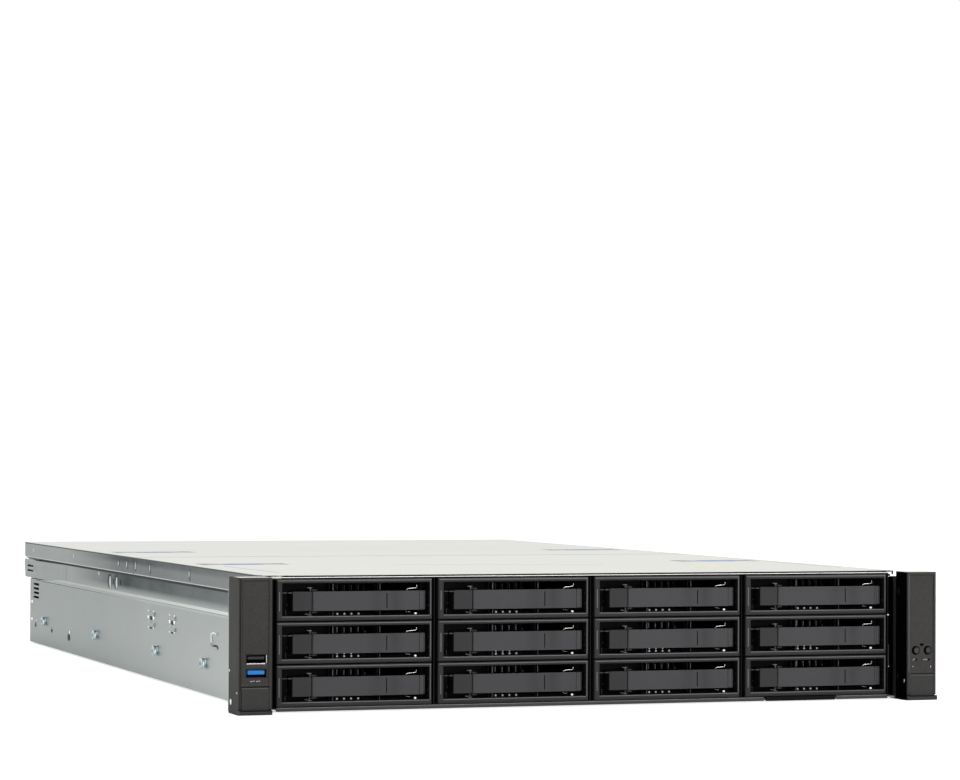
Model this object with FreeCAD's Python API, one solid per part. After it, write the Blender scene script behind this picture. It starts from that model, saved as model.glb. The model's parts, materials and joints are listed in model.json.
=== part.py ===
"""A two-unit rack server with twelve hot-swap drive carriers, in millimetres.

X runs to the right as seen from the front, Y runs from the front to the rear and Z runs up.
Every piece is laid out with Y = 0 on the front face of the rack ears, and is moved on export
so that the origin is under the middle of the machine, on the surface that it rests on.
"""
import FreeCAD
import Part
import math
import os

Vector = FreeCAD.Vector

# ---------------------------------------------------------------- driving dimensions
# Envelope
rack_width = 482.6            # across both ears, the 19 inch rack standard
ear_overhang = 20.3           # of the ears past the chassis sides
cover_top = 86.4              # top of the covers above the resting surface
ear_top_drop = 0.4            # from the top of the covers down to the top of the ears
cover_rear = 822.0            # rear edge of the covers behind the ear fronts
rear_wall_inset = 24.0        # from the rear edge of the covers in to the rear wall
running_gap = 0.4             # between pieces that move past each other
seat_gap = 0.1                # between pieces that are seated and stay still
cut_past = 1.0                # that a cutting shape runs past the face it cuts

# Chassis pan
pan_sheet = 1.2
rest_emboss = 1.2             # rest pads pressed down out of the floor
rest_pad_width = 40.0
rest_pad_length = 16.0
rest_pad_inset = 51.0         # from the chassis sides to the middle of a pad
rest_pad_from_end = 60.0      # from the ear fronts, and from the rear wall
joggle_drop = 31.4            # from the top of the covers to where the side wall steps inward
joggle_rise = 3.5
joggle_step = 3.0
flange_reach = 8.0            # inward flange on top of the side walls
flange_gap = 0.3              # between that flange and the covers
corner_notch_drop = 4.0       # from the top of the covers, behind the ears
corner_notch_end = 34.0       # behind the ear fronts
flange_sheet = 1.5            # ear flanges
front_lip_inset = 3.0         # front lip of the floor, short of the ears

# Pressed and cut forms of the side walls
side_slot_length = 24.0
side_slot_height = 1.9
side_slot_pitch = 3.7
side_slot_count = 4
side_slot_ahead = 39.0        # from the front end of the slots to the rear wall
side_slot_drop = 15.6         # from the inward step down to the lowest slot
band_slot_length = 26.0
band_slot_pitch = 4.1
band_slot_count = 2
band_slot_ahead = 38.0        # from the front end of the slots to the covers' rear edge
band_slot_rise = 2.8          # above the inward step
bridge_places = (256.0, 321.0)    # lanced bridges behind the ear fronts
bridge_length = 22.0
bridge_height = 3.2
bridge_proud = 1.0
bridge_bottom = 38.0
bridge_pitch = 7.8
hook_start = 135.0            # raised C-shaped form behind the ear fronts
hook_length = 17.5
hook_bottom = 32.8
hook_height = 11.3
hook_rib = 1.6
hook_proud = 0.8
dimple_places = (452.0, 477.0)
dimple_radius = 2.6
dimple_proud = 0.5
dimple_rise = 6.5             # above the inward step
tooling_holes_ahead = (167.0, 97.0, 26.0)    # of the rear wall
tooling_hole_radius = 1.6
tooling_hole_height = 18.2

# Covers
cover_sheet = 1.0
skirt_height = 12.9
cover_overhang = 0.3          # skirt outside the lower side wall
cover_seam_at = 391.0
cover_seam_gap = 1.0
cover_front_at = 24.0
touch_recess_depth = 0.4      # for the finger pads
touch_recess_width = 64.0
touch_recess_length = 26.0
touch_recess_inset = 42.0     # from the chassis sides to the middle of a recess
front_recess_ahead = 161.0    # of the seam
rear_recess_behind = 117.0    # of the seam

# Ears
ear_face_width = 21.4
ear_depth = 26.0
ear_chamfer = 0.8
ear_notch_start = 17.5        # of the notch in the ear's upper rear corner
ear_panel_border = 2.0
ear_panel_recess = 0.4
ear_panel_rise = 1.5          # from the door up to the recessed panel
rack_hole_inset = 8.75        # from the outer side of an ear
rack_screw_height = 6.0
rack_screw_radius = 2.9
rack_screw_clearance = 0.3
rack_screw_reach = 9.0
rack_screw_shank_radius = 2.5
rack_screw_head_radius = 4.4
rack_screw_head_length = 6.0
rack_screw_sink = 2.0         # of the head behind the closed door
screw_well_gap = 0.4          # under the head of the screw
screw_well_depth = 12.0

# Ear doors
door_top = 17.7
door_sheet = 2.0
door_lip_reach = 1.5
door_lip_bottom = 0.3
door_lip_height = 3.1
door_lip_chamfer = 0.6
door_lip_gap = 0.3            # from the lip up to the pocket behind the door

# Front panel controls
button_radius = 2.5
button_clearance = 0.3
button_length = 6.0
button_stroke = 1.0
button_sink = 0.1             # behind the recessed panel
button_height = 33.5
power_button_in = 14.7        # from the outer side of the ear
id_button_in = 5.9
usb_shell_width = 13.2
usb_shell_height = 5.5
usb_shell_sheet = 0.4
usb_shell_depth = 18.0
usb_shell_back = 2.0          # closed rear end of a socket
usb_shift = 0.6               # of the sockets from the middle of the ear
usb_heights = (26.2, 35.3)
usb_tongue_height = 1.6
usb_tongue_width = 10.6
usb_tongue_sink = 0.8

# Drive bays
columns = 4
rows = 3
bay_left_margin = 6.8         # from the chassis side to the carriers
bay_right_margin = 11.2       # wider, for the cable duct
column_gap = 4.0
row_gap = 0.7
carrier_front = 11.2
carrier_lift = 0.5            # of the lowest carriers above the cage floor
cage_setback = 2.3            # of the cage behind the carrier fronts
cage_sheet = 1.0
cage_roof_sheet = 0.8
cage_rear_room = 8.0          # behind the carrier rails
cage_post_start = 20.0        # of the ledges behind the cage front
cage_ledge_sheet = 1.0
cage_ledge_overlap = 0.3

# Drive carriers
bezel_depth = 15.0
bezel_wall = 2.0
bezel_top_border = 2.4
bezel_bottom_border = 3.0
bezel_left_border = 3.6
bezel_right_border = 1.7
bezel_chamfer = 0.8
rail_sheet = 1.5
rail_height = 21.0
rail_bottom = 2.2
rail_extra = 5.0              # of the rails past the drive
rail_root = 3.0               # of the rails into the bezel
drive_side_gap = 0.7          # from the carrier sides
drive_lift = 0.4
drive_top_gap = 0.5
drive_length = 147.0
drive_lid_step = 1.2
drive_lid_inset = 2.0
drive_lid_corner = 24.0       # of the cut corners at the connector end
drive_lid_end = 10.0          # of the lid before the connector end

# Carrier lever and catch
bar_bottom = 6.3
bar_height = 12.2
bar_sheet = 2.2
bar_recess = 0.8
pad_start = 10.8              # fixed pad left of the lever
pad_width = 12.4
lever_gap = 0.5
lever_end_inset = 8.4         # from the right side of the carrier
lever_slit_in = 22.2          # from the free end of the lever
lever_slit_width = 0.8
lever_slit_depth = 1.2
lever_slit_margin = 1.4
stiffener_sheet = 1.6
stiffener_margin = 4.5
stiffener_inset = 6.0
catch_gap = 0.5
catch_width = 3.9
catch_bevel = 1.6
catch_stem_sheet = 1.8
catch_stem_inset = 3.0
catch_guide_start = 0.8       # of the guide right of the catch's left side
catch_guide_behind = 4.0      # of the guide behind the catch's face
tab_width = 3.6
tab_sheet = 1.0
rib_sheet = 0.8
rib_reach = 4.5
first_rib_in = 26.2           # from the left side of the fixed pad
second_rib_in = 25.6          # from the free end of the lever
wide_vent = 8.5               # last gap before the second rib
bar_count = 5
vent_sill = 1.2               # wall left above and below the vents
vent_end = 3.0                # wall left right of the last vent

# Information tag
tag_width = 50.0
tag_length = 66.0
tag_sheet = 0.7
tag_shift = -11.3             # from the middle of the last column
tag_end_room = 2.0            # of its slot behind the tag
tag_grip_bottom = 0.9
tag_grip_gap = 0.3            # under the carriers
tag_grip_depth = 1.8
tag_stand = 1.4               # of the card in front of the cage

# Fans
fan_count = 3
fan_side_margin = 23.0        # from the chassis sides to the outer fans' share of the width
fan_top_gap = 3.0
fan_frame_wall = 2.0
fan_depth = 38.0
fan_cable_room = 49.8         # between the drive cage and the fans
fan_hub_radius = 17.0
fan_hub_sides = 20
fan_duct_sides = 28
fan_hub_short = 4.0           # of the rotor before the struts
fan_tip_gap = 3.4             # at the middle of a blade's end, whose corners stand further out
fan_blades = 7
fan_rotor_start = 0.6         # rotor and shaft behind the front of the frame
fan_shaft_start = 6.0
fan_shaft_radius = 2.0
fan_shaft_clearance = 0.05
fan_strut_width = 4.0
fan_strut_depth = 3.0
blade_sheet = 1.6
blade_root_chord = 26.0
blade_root_pitch = 42.0       # degrees from the axis
blade_tip_chord = 24.0
blade_tip_pitch = 60.0

# System board
board_sheet = 1.6
board_lift = 6.0
board_behind_fans = 56.0
board_side_gap = 7.0          # from the left chassis side
board_bay_gap = 4.1           # from the wall of the supply bays
board_rear_gap = 5.0
board_post_inset = 12.0
board_post_radius = 3.2
board_post_rear = 60.0        # of the rear posts before the rear wall
backplane_top_gap = 2.0
backplane_socket_gap = 0.6    # from the rear end of a drive
backplane_socket_left = 30.0
backplane_socket_width = 34.0
backplane_socket_low = 4.0
backplane_socket_height = 7.0
cooler_behind = 70.0          # the board's front edge
sink_width = 78.0
sink_length = 108.0
sink_height = 56.0
sink_base = 5.0
fin_count = 13
fin_sheet = 1.2
processor_inset = 9.0         # of the processor socket inside the cooler's sides
processor_end_inset = 20.0
processor_height = 6.0
memory_behind = 58.0          # the board's front edge
memory_length = 133.0
memory_height = 31.0
memory_sheet = 4.0
memory_pitch = 9.4
memory_per_bank = 3
memory_gap = 6.0              # between a cooler and its memory
bank_gap = 8.4                # between the memory of the two processors
socket_width = 16.5
socket_height = 14.0
socket_depth = 18.0
socket_wall = 2.0
socket_hole_depth = 12.0
network_sockets = (4.0, 24.0)             # from the left side of the socket opening
plain_sockets = (48.0, 88.0, 110.0, 134.0)
plain_socket_widths = (31.0, 15.0, 17.0, 60.0)
plain_socket_depth = 14.0
plain_socket_drop = 1.0
opening_margin = 12.0         # of the socket opening right of the last socket
opening_clearance = 2.0       # above the sockets
opening_in = 16.0             # of the socket opening from the board's right side

# Rear vents and expansion slots
rear_vent_columns = 5
rear_vent_gap = 6.0
rear_vent_height = 8.0
rear_vent_pitch = 14.0
rear_vent_rise = 14.0         # above the socket opening
rear_vent_rows = 2
slot_count = 3
slot_inset = 8.0              # from the board's left side
slot_height = 13.0
slot_pitch = 20.3
slot_rise = 8.0               # above the board
slot_gap = 17.0               # from the socket opening
riser_length = 150.0
riser_margin_left = 4.0
riser_margin_right = 8.0
riser_low_gap = 2.0
riser_top_gap = 1.0
riser_card_in = 12.0
riser_card_front = 10.0
riser_card_rear = 30.0

# Power supplies
supply_width = 73.5
supply_length = 185.0
supply_side_gap = 8.0         # from the right chassis side
supply_top_gap = 1.3
bay_sheet = 1.0               # walls of the supply bays
bay_front_inset = 20.0        # of the bay walls behind the supplies' front ends
supply_handle_reach = 20.0
handle_width = 10.0
handle_wall = 3.0
handle_margin = 4.0
handle_corner = 4.0
inlet_side = 7.0              # from the left side of a supply
inlet_rise = 13.0
inlet_width = 24.4
inlet_height = 16.4
inlet_depth = 14.0
inlet_pin_pitch = 7.0
inlet_pin_width = 1.8
inlet_pin_height = 4.0
inlet_pin_rise = 6.0
inlet_pin_sink = 3.0
grille_gap = 5.6              # right of the inlet
grille_margin = 5.0
grille_lines = 6
grille_bar = 2.0
grille_depth = 3.0
latch_stroke = 2.0
latch_gap = 0.3
latch_side = 2.5              # from the right side of a supply
latch_rise = 12.0
latch_width = 8.0
latch_height = 14.0
latch_depth = 8.0
latch_tab_width = 3.0
latch_tab_reach = 13.0
latch_tab_inset = 2.0
latch_grille_gap = 3.0

# Rail studs on the side walls
front_studs = (170.5, 314.6)  # behind the ear fronts
rear_studs = (275.5, 67.2)    # ahead of the rear wall
stud_height = 21.7
stud_neck_radius = 2.4
stud_neck_length = 2.2
stud_head_radius = 4.2
stud_head_length = 1.2
small_sides = 10              # sides of the small turned pieces
hole_sides = 6                # of the small holes and dimples

# ---------------------------------------------------------------- derived places
chassis_width = rack_width - 2 * ear_overhang
ear_outer = rack_width / 2
ear_inner = ear_outer - ear_face_width
ear_height = cover_top - ear_top_drop
ear_panel_bottom = door_top + ear_panel_rise
rack_hole_spacing = rack_width - 2 * rack_hole_inset
rear_wall_at = cover_rear - rear_wall_inset
wall_outer = chassis_width / 2
band_outer = wall_outer - joggle_step
band_inner = band_outer - pan_sheet
joggle_bottom = cover_top - joggle_drop
joggle_top = joggle_bottom + joggle_rise
pan_top = rest_emboss + pan_sheet
cover_under = cover_top - cover_sheet
flange_top = cover_under - flange_gap
flange_under = flange_top - pan_sheet
corner_notch_bottom = cover_top - corner_notch_drop
stud_places = front_studs + tuple(rear_wall_at - ahead for ahead in rear_studs)

# Drive bays
floor_sheet_top = pan_top + cage_sheet
cage_roof_under = cover_under - cage_roof_sheet
carrier_floor = floor_sheet_top + carrier_lift
carrier_pitch_z = (cage_roof_under - running_gap - carrier_floor + row_gap) / rows
carrier_height = carrier_pitch_z - row_gap
bay_left = -wall_outer + bay_left_margin
carrier_pitch_x = (chassis_width - bay_left_margin - bay_right_margin + column_gap) / columns
carrier_width = carrier_pitch_x - column_gap
drive_width = carrier_width - 2 * drive_side_gap
drive_height = carrier_height - drive_lift - drive_top_gap
drive_start = bezel_depth + 3 * seat_gap
rail_over = rail_sheet + seat_gap - drive_side_gap
rail_end = drive_start + drive_length + rail_extra
cage_front = carrier_front + cage_setback
cage_rear = carrier_front + rail_end + cage_rear_room
lever_start = pad_start + pad_width + lever_gap
lever_end = carrier_width - lever_end_inset
lever_slit_at = lever_end - lever_slit_in
lever_axis_in = lever_start + bar_sheet / 2
lever_axis_deep = bar_recess + bar_sheet / 2
rib_places = (pad_start + first_rib_in, lever_end - second_rib_in)
bar_pitch = (rib_places[1] - rib_places[0] - wide_vent) / bar_count
door_bottom = door_lip_height + door_lip_gap
door_axis_height = door_top - door_sheet / 2
door_axis_deep = door_sheet / 2
tag_middle = bay_left + carrier_pitch_x * (columns - 1) + carrier_width / 2 + tag_shift

# Inside
fan_size = cover_under - pan_top - fan_top_gap
fan_pitch = (chassis_width - 2 * fan_side_margin) / fan_count
fan_bore_radius = fan_size / 2 - fan_frame_wall
fan_front = cage_rear + fan_cable_room
board_front = fan_front + fan_depth + board_behind_fans
supply_right = wall_outer - supply_side_gap
supply_left = supply_right - supply_width
supply_floor = pan_top + running_gap
supply_stack = flange_under - supply_top_gap - supply_floor
supply_height = (supply_stack - bay_sheet - 2 * running_gap) / 2
supply_pitch = supply_height + 2 * running_gap + bay_sheet
supply_front = rear_wall_at - supply_length
bay_wall_left = supply_left - running_gap - bay_sheet
board_left = -wall_outer + board_side_gap
board_right = bay_wall_left - board_bay_gap
board_rear = rear_wall_at - pan_sheet - board_rear_gap
board_surface = pan_top + board_lift + board_sheet
bank_width = memory_pitch * (memory_per_bank - 1) + memory_sheet
cooler_pitch = sink_width + 2 * (memory_gap + bank_width) + bank_gap
opening_width = plain_sockets[-1] + plain_socket_widths[-1] + opening_margin
opening_left = board_right - opening_in - opening_width
opening_height = socket_height + opening_clearance
opening_top = board_surface + opening_height
slot_left = board_left + slot_inset
slot_width = opening_left - slot_gap - slot_left
slot_bottom = board_surface + slot_rise
origin_shift = -(cover_rear - door_lip_reach) / 2


# ---------------------------------------------------------------- shape helpers
def block(x_low, x_high, y_low, y_high, z_low, z_high):
    """A box between two corners."""
    return Part.makeBox(x_high - x_low, y_high - y_low, z_high - z_low, Vector(x_low, y_low, z_low))


def rod(start, direction, radius, length):
    """A round bar from a point along a direction."""
    return Part.makeCylinder(radius, length, Vector(*start), Vector(*direction))


def faceted_rod(start, direction, radius, length, sides):
    """A bar with flats from a point along +X, +Y or +Z."""
    along = Vector(*direction)
    across = Vector(direction[1], direction[2], direction[0])
    other = along.cross(across)
    corners = []
    for index in range(sides):
        turn = 2 * math.pi * (index + 0.5) / sides
        corners.append(Vector(*start) + across * (radius * math.cos(turn)) + other * (radius * math.sin(turn)))
    return Part.Face(Part.makePolygon(corners + corners[:1])).extrude(along * length)


def prism(points, travel):
    """A polygon of 3-D points pushed along a travel vector."""
    corners = [Vector(*point) for point in points]
    face = Part.Face(Part.makePolygon(corners + corners[:1]))
    return face.extrude(Vector(*travel))


def plan_prism(points, z_low, z_high):
    """A polygon in plan (X, Y) between two heights."""
    return prism([(x, y, z_low) for x, y in points], (0, 0, z_high - z_low))


def side_prism(points, x_low, x_high):
    """A polygon in side view (Y, Z) between two X places."""
    return prism([(x_low, y, z) for y, z in points], (x_high - x_low, 0, 0))


def section_prism(points, y_low, y_high):
    """A polygon in cross-section (X, Z) between two depths."""
    return prism([(x, y_low, z) for x, z in points], (0, y_high - y_low, 0))


def joined(shapes):
    """One solid out of shapes that touch or overlap."""
    return shapes[0].fuse(shapes[1:]).removeSplitter()


def mirrored(shape):
    """The same shape on the other side of the machine."""
    return shape.mirror(Vector(0, 0, 0), Vector(1, 0, 0))


def with_mirrored(shapes):
    """The shapes and their copies on the other side of the machine."""
    return shapes + [mirrored(shape) for shape in shapes]


def front_chamfered(body, size):
    """A block with its front edges cut back."""
    edges = [edge for edge in body.Edges if all(abs(vertex.Point.y) < 1e-6 for vertex in edge.Vertexes)]
    return body.makeChamfer(size, edges)


def save(name, shapes):
    """Write one node, moved into the frame of the whole machine."""
    solids = [solid for shape in shapes for solid in shape.Solids]
    whole = solids[0] if len(solids) == 1 else Part.makeCompound(solids)
    whole = whole.copy()
    whole.translate(Vector(0, origin_shift, 0))
    whole.exportStep(os.path.join("parts", name + ".step"))


# ---------------------------------------------------------------- chassis
def side_wall_section():
    """Cross-section of the floor and the right side wall, as far as the middle."""
    outer = [(0, rest_emboss), (wall_outer, rest_emboss), (wall_outer, joggle_bottom),
             (band_outer, joggle_top), (band_outer, flange_top), (band_outer - flange_reach, flange_top)]
    inner = [(band_outer - flange_reach, flange_under), (band_inner, flange_under),
             (band_inner, joggle_top), (wall_outer - pan_sheet, joggle_bottom),
             (wall_outer - pan_sheet, pan_top), (0, pan_top)]
    return outer + inner


def side_wall_cuts():
    """Vent slots and tooling holes of the right side wall."""
    cuts = []
    start = rear_wall_at - side_slot_ahead
    for row in range(side_slot_count):
        height = joggle_bottom - side_slot_drop + side_slot_pitch * row
        cuts.append(block(wall_outer - 2 * pan_sheet, wall_outer + cut_past, start, start + side_slot_length,
                          height, height + side_slot_height))
    start = cover_rear - band_slot_ahead
    for row in range(band_slot_count):
        height = joggle_top + band_slot_rise + band_slot_pitch * row
        cuts.append(block(band_inner - cut_past, band_outer + cut_past, start, start + band_slot_length,
                          height, height + side_slot_height))
    for ahead in tooling_holes_ahead:
        cuts.append(faceted_rod((wall_outer - 2 * pan_sheet, rear_wall_at - ahead, tooling_hole_height), (1, 0, 0),
                                tooling_hole_radius, 3 * pan_sheet, hole_sides))
    return cuts


def side_wall_forms():
    """Lanced bridges, a raised hook and dimples pressed out of the right side wall."""
    root = wall_outer - pan_sheet / 2
    forms = []
    for start in bridge_places:
        for low in (bridge_bottom, bridge_bottom + bridge_pitch):
            forms.append(block(root, wall_outer + bridge_proud, start, start + bridge_length,
                               low, low + bridge_height))
    hook_top = hook_bottom + hook_height
    back = hook_start + hook_length
    for y_low, y_high, z_low, z_high in ((hook_start, back, hook_bottom, hook_bottom + hook_rib),
                                         (hook_start, back, hook_top - hook_rib, hook_top),
                                         (back - hook_rib, back, hook_bottom, hook_top)):
        forms.append(block(root, wall_outer + hook_proud, y_low, y_high, z_low, z_high))
    for y in dimple_places:
        forms.append(faceted_rod((band_outer - pan_sheet / 2, y, joggle_top + dimple_rise), (1, 0, 0), dimple_radius,
                                 pan_sheet / 2 + dimple_proud, hole_sides))
    return forms


def rear_openings():
    """Openings in the rear wall for the supplies, the cards, the board's sockets and the air."""
    inside = rear_wall_at - 3 * pan_sheet
    outside = rear_wall_at + cut_past
    openings = [block(supply_left - running_gap, band_inner, inside, outside,
                      supply_floor - running_gap, supply_floor + supply_pitch + supply_height + running_gap)]
    for index in range(slot_count):
        low = slot_bottom + slot_pitch * index
        openings.append(block(slot_left, slot_left + slot_width, inside, outside, low, low + slot_height))
    openings.append(block(opening_left, opening_left + opening_width, inside, outside, board_surface, opening_top))
    pitch = (opening_width + rear_vent_gap) / rear_vent_columns
    for column in range(rear_vent_columns):
        left = opening_left + pitch * column
        for row in range(rear_vent_rows):
            low = opening_top + rear_vent_rise + rear_vent_pitch * row
            openings.append(block(left, left + pitch - rear_vent_gap, inside, outside, low, low + rear_vent_height))
    return openings


def board_posts():
    """Six-sided standoffs pressed into the floor under the system board."""
    posts = []
    for x in (board_left + board_post_inset, board_right - board_post_inset):
        for y in (board_front + board_post_inset, rear_wall_at - board_post_rear):
            posts.append(faceted_rod((x, y, pan_top), (0, 0, 1), board_post_radius, board_lift, 6))
    return posts


def supply_bays():
    """Side wall and middle shelf that hold the two power supplies."""
    front = supply_front + bay_front_inset
    rear = rear_wall_at - pan_sheet
    shelf = supply_floor + supply_height + running_gap
    wall = block(bay_wall_left, bay_wall_left + bay_sheet, front, rear, pan_top, flange_under)
    plate = block(bay_wall_left + bay_sheet, wall_outer - pan_sheet, front, rear, shelf, shelf + bay_sheet)
    return [wall, plate]


def rest_pads():
    """Four pads pressed down out of the floor."""
    pads = []
    middle = wall_outer - rest_pad_inset
    for x in (-middle, middle):
        for y in (rest_pad_from_end, rear_wall_at - rest_pad_from_end):
            pads.append(block(x - rest_pad_width / 2, x + rest_pad_width / 2,
                              y - rest_pad_length / 2, y + rest_pad_length / 2, 0, rest_emboss))
    return pads


def chassis_pan():
    """Floor, side walls with their inward step, rear wall, ear flanges and rest pads."""
    wall = section_prism(side_wall_section(), ear_depth, cover_rear)
    shell = wall.fuse(mirrored(wall)).removeSplitter()
    below_band = block(-rack_width, rack_width, rear_wall_at, cover_rear + cut_past, -cut_past, joggle_top)
    over_cage = block(-band_inner, band_inner, 0, cage_rear + board_sheet + 2 * running_gap, joggle_top, cover_top)
    shell = shell.cut([below_band, over_cage])
    back = block(-wall_outer + pan_sheet, wall_outer - pan_sheet, rear_wall_at - pan_sheet, rear_wall_at,
                 pan_top, joggle_bottom)
    back_upper = block(-band_inner, band_inner, rear_wall_at - pan_sheet, rear_wall_at,
                       joggle_bottom, flange_under)
    flange = block(wall_outer - pan_sheet, ear_outer, ear_depth, ear_depth + flange_sheet,
                   rest_emboss, corner_notch_bottom)
    notch = block(band_inner - cut_past, ear_outer, 0, corner_notch_end, corner_notch_bottom, cover_top)
    hole = rod((rack_hole_spacing / 2, ear_depth - cut_past, rack_screw_height), (0, 1, 0),
               rack_screw_radius + rack_screw_clearance, flange_sheet + 2 * cut_past)
    lip = block(-ear_inner + front_lip_inset, ear_inner - front_lip_inset, cage_front, ear_depth,
                rest_emboss, pan_top)
    pieces = [shell, back, back_upper, lip] + with_mirrored([flange.cut(hole)] + side_wall_forms())
    pan = joined(pieces + rest_pads() + board_posts() + supply_bays())
    return pan.cut(with_mirrored([notch] + side_wall_cuts()) + rear_openings())


def touch_recess(x_middle, y_middle):
    """Shallow recess that takes a finger pad."""
    return block(x_middle - touch_recess_width / 2, x_middle + touch_recess_width / 2,
                 y_middle - touch_recess_length / 2, y_middle + touch_recess_length / 2,
                 cover_top - touch_recess_depth, cover_top + cut_past)


def cover(y_low, y_high, recess_at):
    """A folded cover: a flat top with a skirt down each side and two recesses for finger pads."""
    outer = wall_outer + cover_overhang
    low = cover_top - skirt_height
    section = [(-outer, low), (-outer, cover_top), (outer, cover_top), (outer, low),
               (outer - cover_sheet, low), (outer - cover_sheet, cover_under),
               (-outer + cover_sheet, cover_under), (-outer + cover_sheet, low)]
    sheet = section_prism(section, y_low, y_high)
    return sheet.cut(with_mirrored([touch_recess(wall_outer - touch_recess_inset, recess_at)]))


def front_cover():
    """Fixed cover over the drive bays, with its front corners cut back for the ears."""
    sheet = cover(cover_front_at, cover_seam_at, cover_seam_at - front_recess_ahead)
    corner = block(ear_inner - running_gap, rack_width, 0, corner_notch_end, 0, cover_top + cut_past)
    return sheet.cut(with_mirrored([corner]))


def rear_cover():
    """Sliding cover over the fans and the board."""
    return cover(cover_seam_at + cover_seam_gap, cover_rear, cover_seam_at + rear_recess_behind)


# ---------------------------------------------------------------- drive bays
def column_left(column):
    """Left side of the carriers in one column."""
    return bay_left + carrier_pitch_x * column


def row_floor(row):
    """Underside of the carriers in one row, counted from the bottom."""
    return carrier_floor + carrier_pitch_z * row


def bay_wall_middle(column):
    """Middle of the wall left of one column."""
    return column_left(column) - column_gap / 2


def drive_cage():
    """Walls between the columns, with a ledge under each row, and a roof and a floor."""
    left = bay_wall_middle(0) - cage_sheet / 2
    right = bay_wall_middle(columns) + cage_sheet / 2
    pieces = [block(left, right, cage_front, cage_rear, cage_roof_under, cover_under),
              block(left, right, cage_front, cage_rear, pan_top, floor_sheet_top)]
    ledge_reach = column_gap / 2 + cage_ledge_overlap
    for column in range(columns + 1):
        middle = bay_wall_middle(column)
        pieces.append(block(middle - cage_sheet / 2, middle + cage_sheet / 2, cage_front, cage_rear,
                            floor_sheet_top, cage_roof_under))
        for row in range(1, rows):
            top = row_floor(row) + rail_bottom - running_gap
            ledge_low = middle if column == 0 else middle - ledge_reach
            ledge_high = middle if column == columns else middle + ledge_reach
            pieces.append(block(ledge_low, ledge_high, cage_front + cage_post_start, cage_rear,
                                top - cage_ledge_sheet, top))
    slot = block(tag_middle - tag_width / 2 - running_gap, tag_middle + tag_width / 2 + running_gap,
                 cage_front - cut_past, cage_front + tag_length + tag_end_room,
                 pan_top - cut_past, floor_sheet_top + cut_past)
    return joined(pieces).cut(slot)


def drive_backplane():
    """Circuit board behind the drives, with one socket for each drive."""
    front = cage_rear + seat_gap
    board = block(bay_wall_middle(0), bay_wall_middle(columns), front, front + board_sheet,
                  pan_top, cover_under - backplane_top_gap)
    drive_end = carrier_front + drive_start + drive_length
    sockets = []
    for column in range(columns):
        for row in range(rows):
            x = column_left(column) + backplane_socket_left
            z = row_floor(row) + backplane_socket_low
            sockets.append(block(x, x + backplane_socket_width, drive_end + backplane_socket_gap, front,
                                 z, z + backplane_socket_height))
    return joined([board] + sockets)


# ---------------------------------------------------------------- carriers
def bezel_vents(wall_front, inside_right):
    """Slots between the ribs in the rear wall of a carrier front, the last one a wide window."""
    edges = [rib_places[0] + bar_pitch * index for index in range(bar_count + 1)]
    lows = [edge + rib_sheet for edge in edges] + [rib_places[1] + rib_sheet]
    highs = edges[1:] + [rib_places[1] - rib_sheet, inside_right - vent_end]
    low_sill = bezel_bottom_border + vent_sill
    high_sill = carrier_height - bezel_top_border - vent_sill
    return [block(low, high, wall_front - cut_past, bezel_depth + cut_past, low_sill, high_sill)
            for low, high in zip(lows, highs)]


def bezel():
    """Carrier front at the origin: frame, pocket with ribs, fixed pad, hinge tabs and guides."""
    outer = front_chamfered(block(0, carrier_width, 0, bezel_depth, 0, carrier_height), bezel_chamfer)
    inside_right = carrier_width - bezel_right_border
    inside_high = carrier_height - bezel_top_border
    wall_front = bezel_depth - bezel_wall
    pocket = block(bezel_left_border, inside_right, -cut_past, wall_front, bezel_bottom_border, inside_high)
    pieces = [outer.cut([pocket] + bezel_vents(wall_front, inside_right))]
    for place in rib_places:
        pieces.append(block(place - rib_sheet / 2, place + rib_sheet / 2, wall_front - rib_reach, wall_front,
                            bezel_bottom_border, inside_high))
    pieces.append(block(pad_start, pad_start + pad_width, bar_recess, wall_front,
                        bar_bottom, bar_bottom + bar_height))
    pieces += hinge_tabs(wall_front)
    pieces.append(catch_guide(inside_right, wall_front))
    return joined(pieces)


def hinge_tabs(wall_front):
    """The two tabs that the lever turns between."""
    left = lever_axis_in - tab_width / 2
    return [block(left, left + tab_width, bar_recess, wall_front, low, low + tab_sheet)
            for low in (bar_bottom + bar_height + running_gap, bar_bottom - running_gap - tab_sheet)]


def catch_guide(inside_right, wall_front):
    """Ledge that carries the stem of the catch."""
    top = bar_bottom + catch_stem_inset - seat_gap
    return block(lever_end + catch_gap + catch_guide_start, inside_right,
                 bar_recess + bar_sheet + catch_guide_behind, wall_front, top - tab_sheet, top)


def carrier_rails():
    """The two side rails behind the bezel."""
    return [block(low, low + rail_sheet, bezel_depth - rail_root, rail_end, rail_bottom, rail_bottom + rail_height)
            for low in (-rail_over, carrier_width + rail_over - rail_sheet)]


def hard_drive():
    """Drive body with a raised lid whose corners are cut at the connector end."""
    left = drive_side_gap
    right = left + drive_width
    front = drive_start
    rear = front + drive_length
    top = drive_lift + drive_height
    body = block(left, right, front, rear, drive_lift, top - drive_lid_step)
    inset = drive_lid_inset
    lid_end = rear - drive_lid_end
    corner = drive_lid_corner
    lid = plan_prism([(left + inset, front + inset), (right - inset, front + inset),
                      (right - inset, lid_end - corner), (right - inset - corner / 2, lid_end),
                      (left + inset + corner / 2, lid_end), (left + inset, lid_end - corner)],
                     top - drive_lid_step, top)
    return joined([body, lid])


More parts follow.
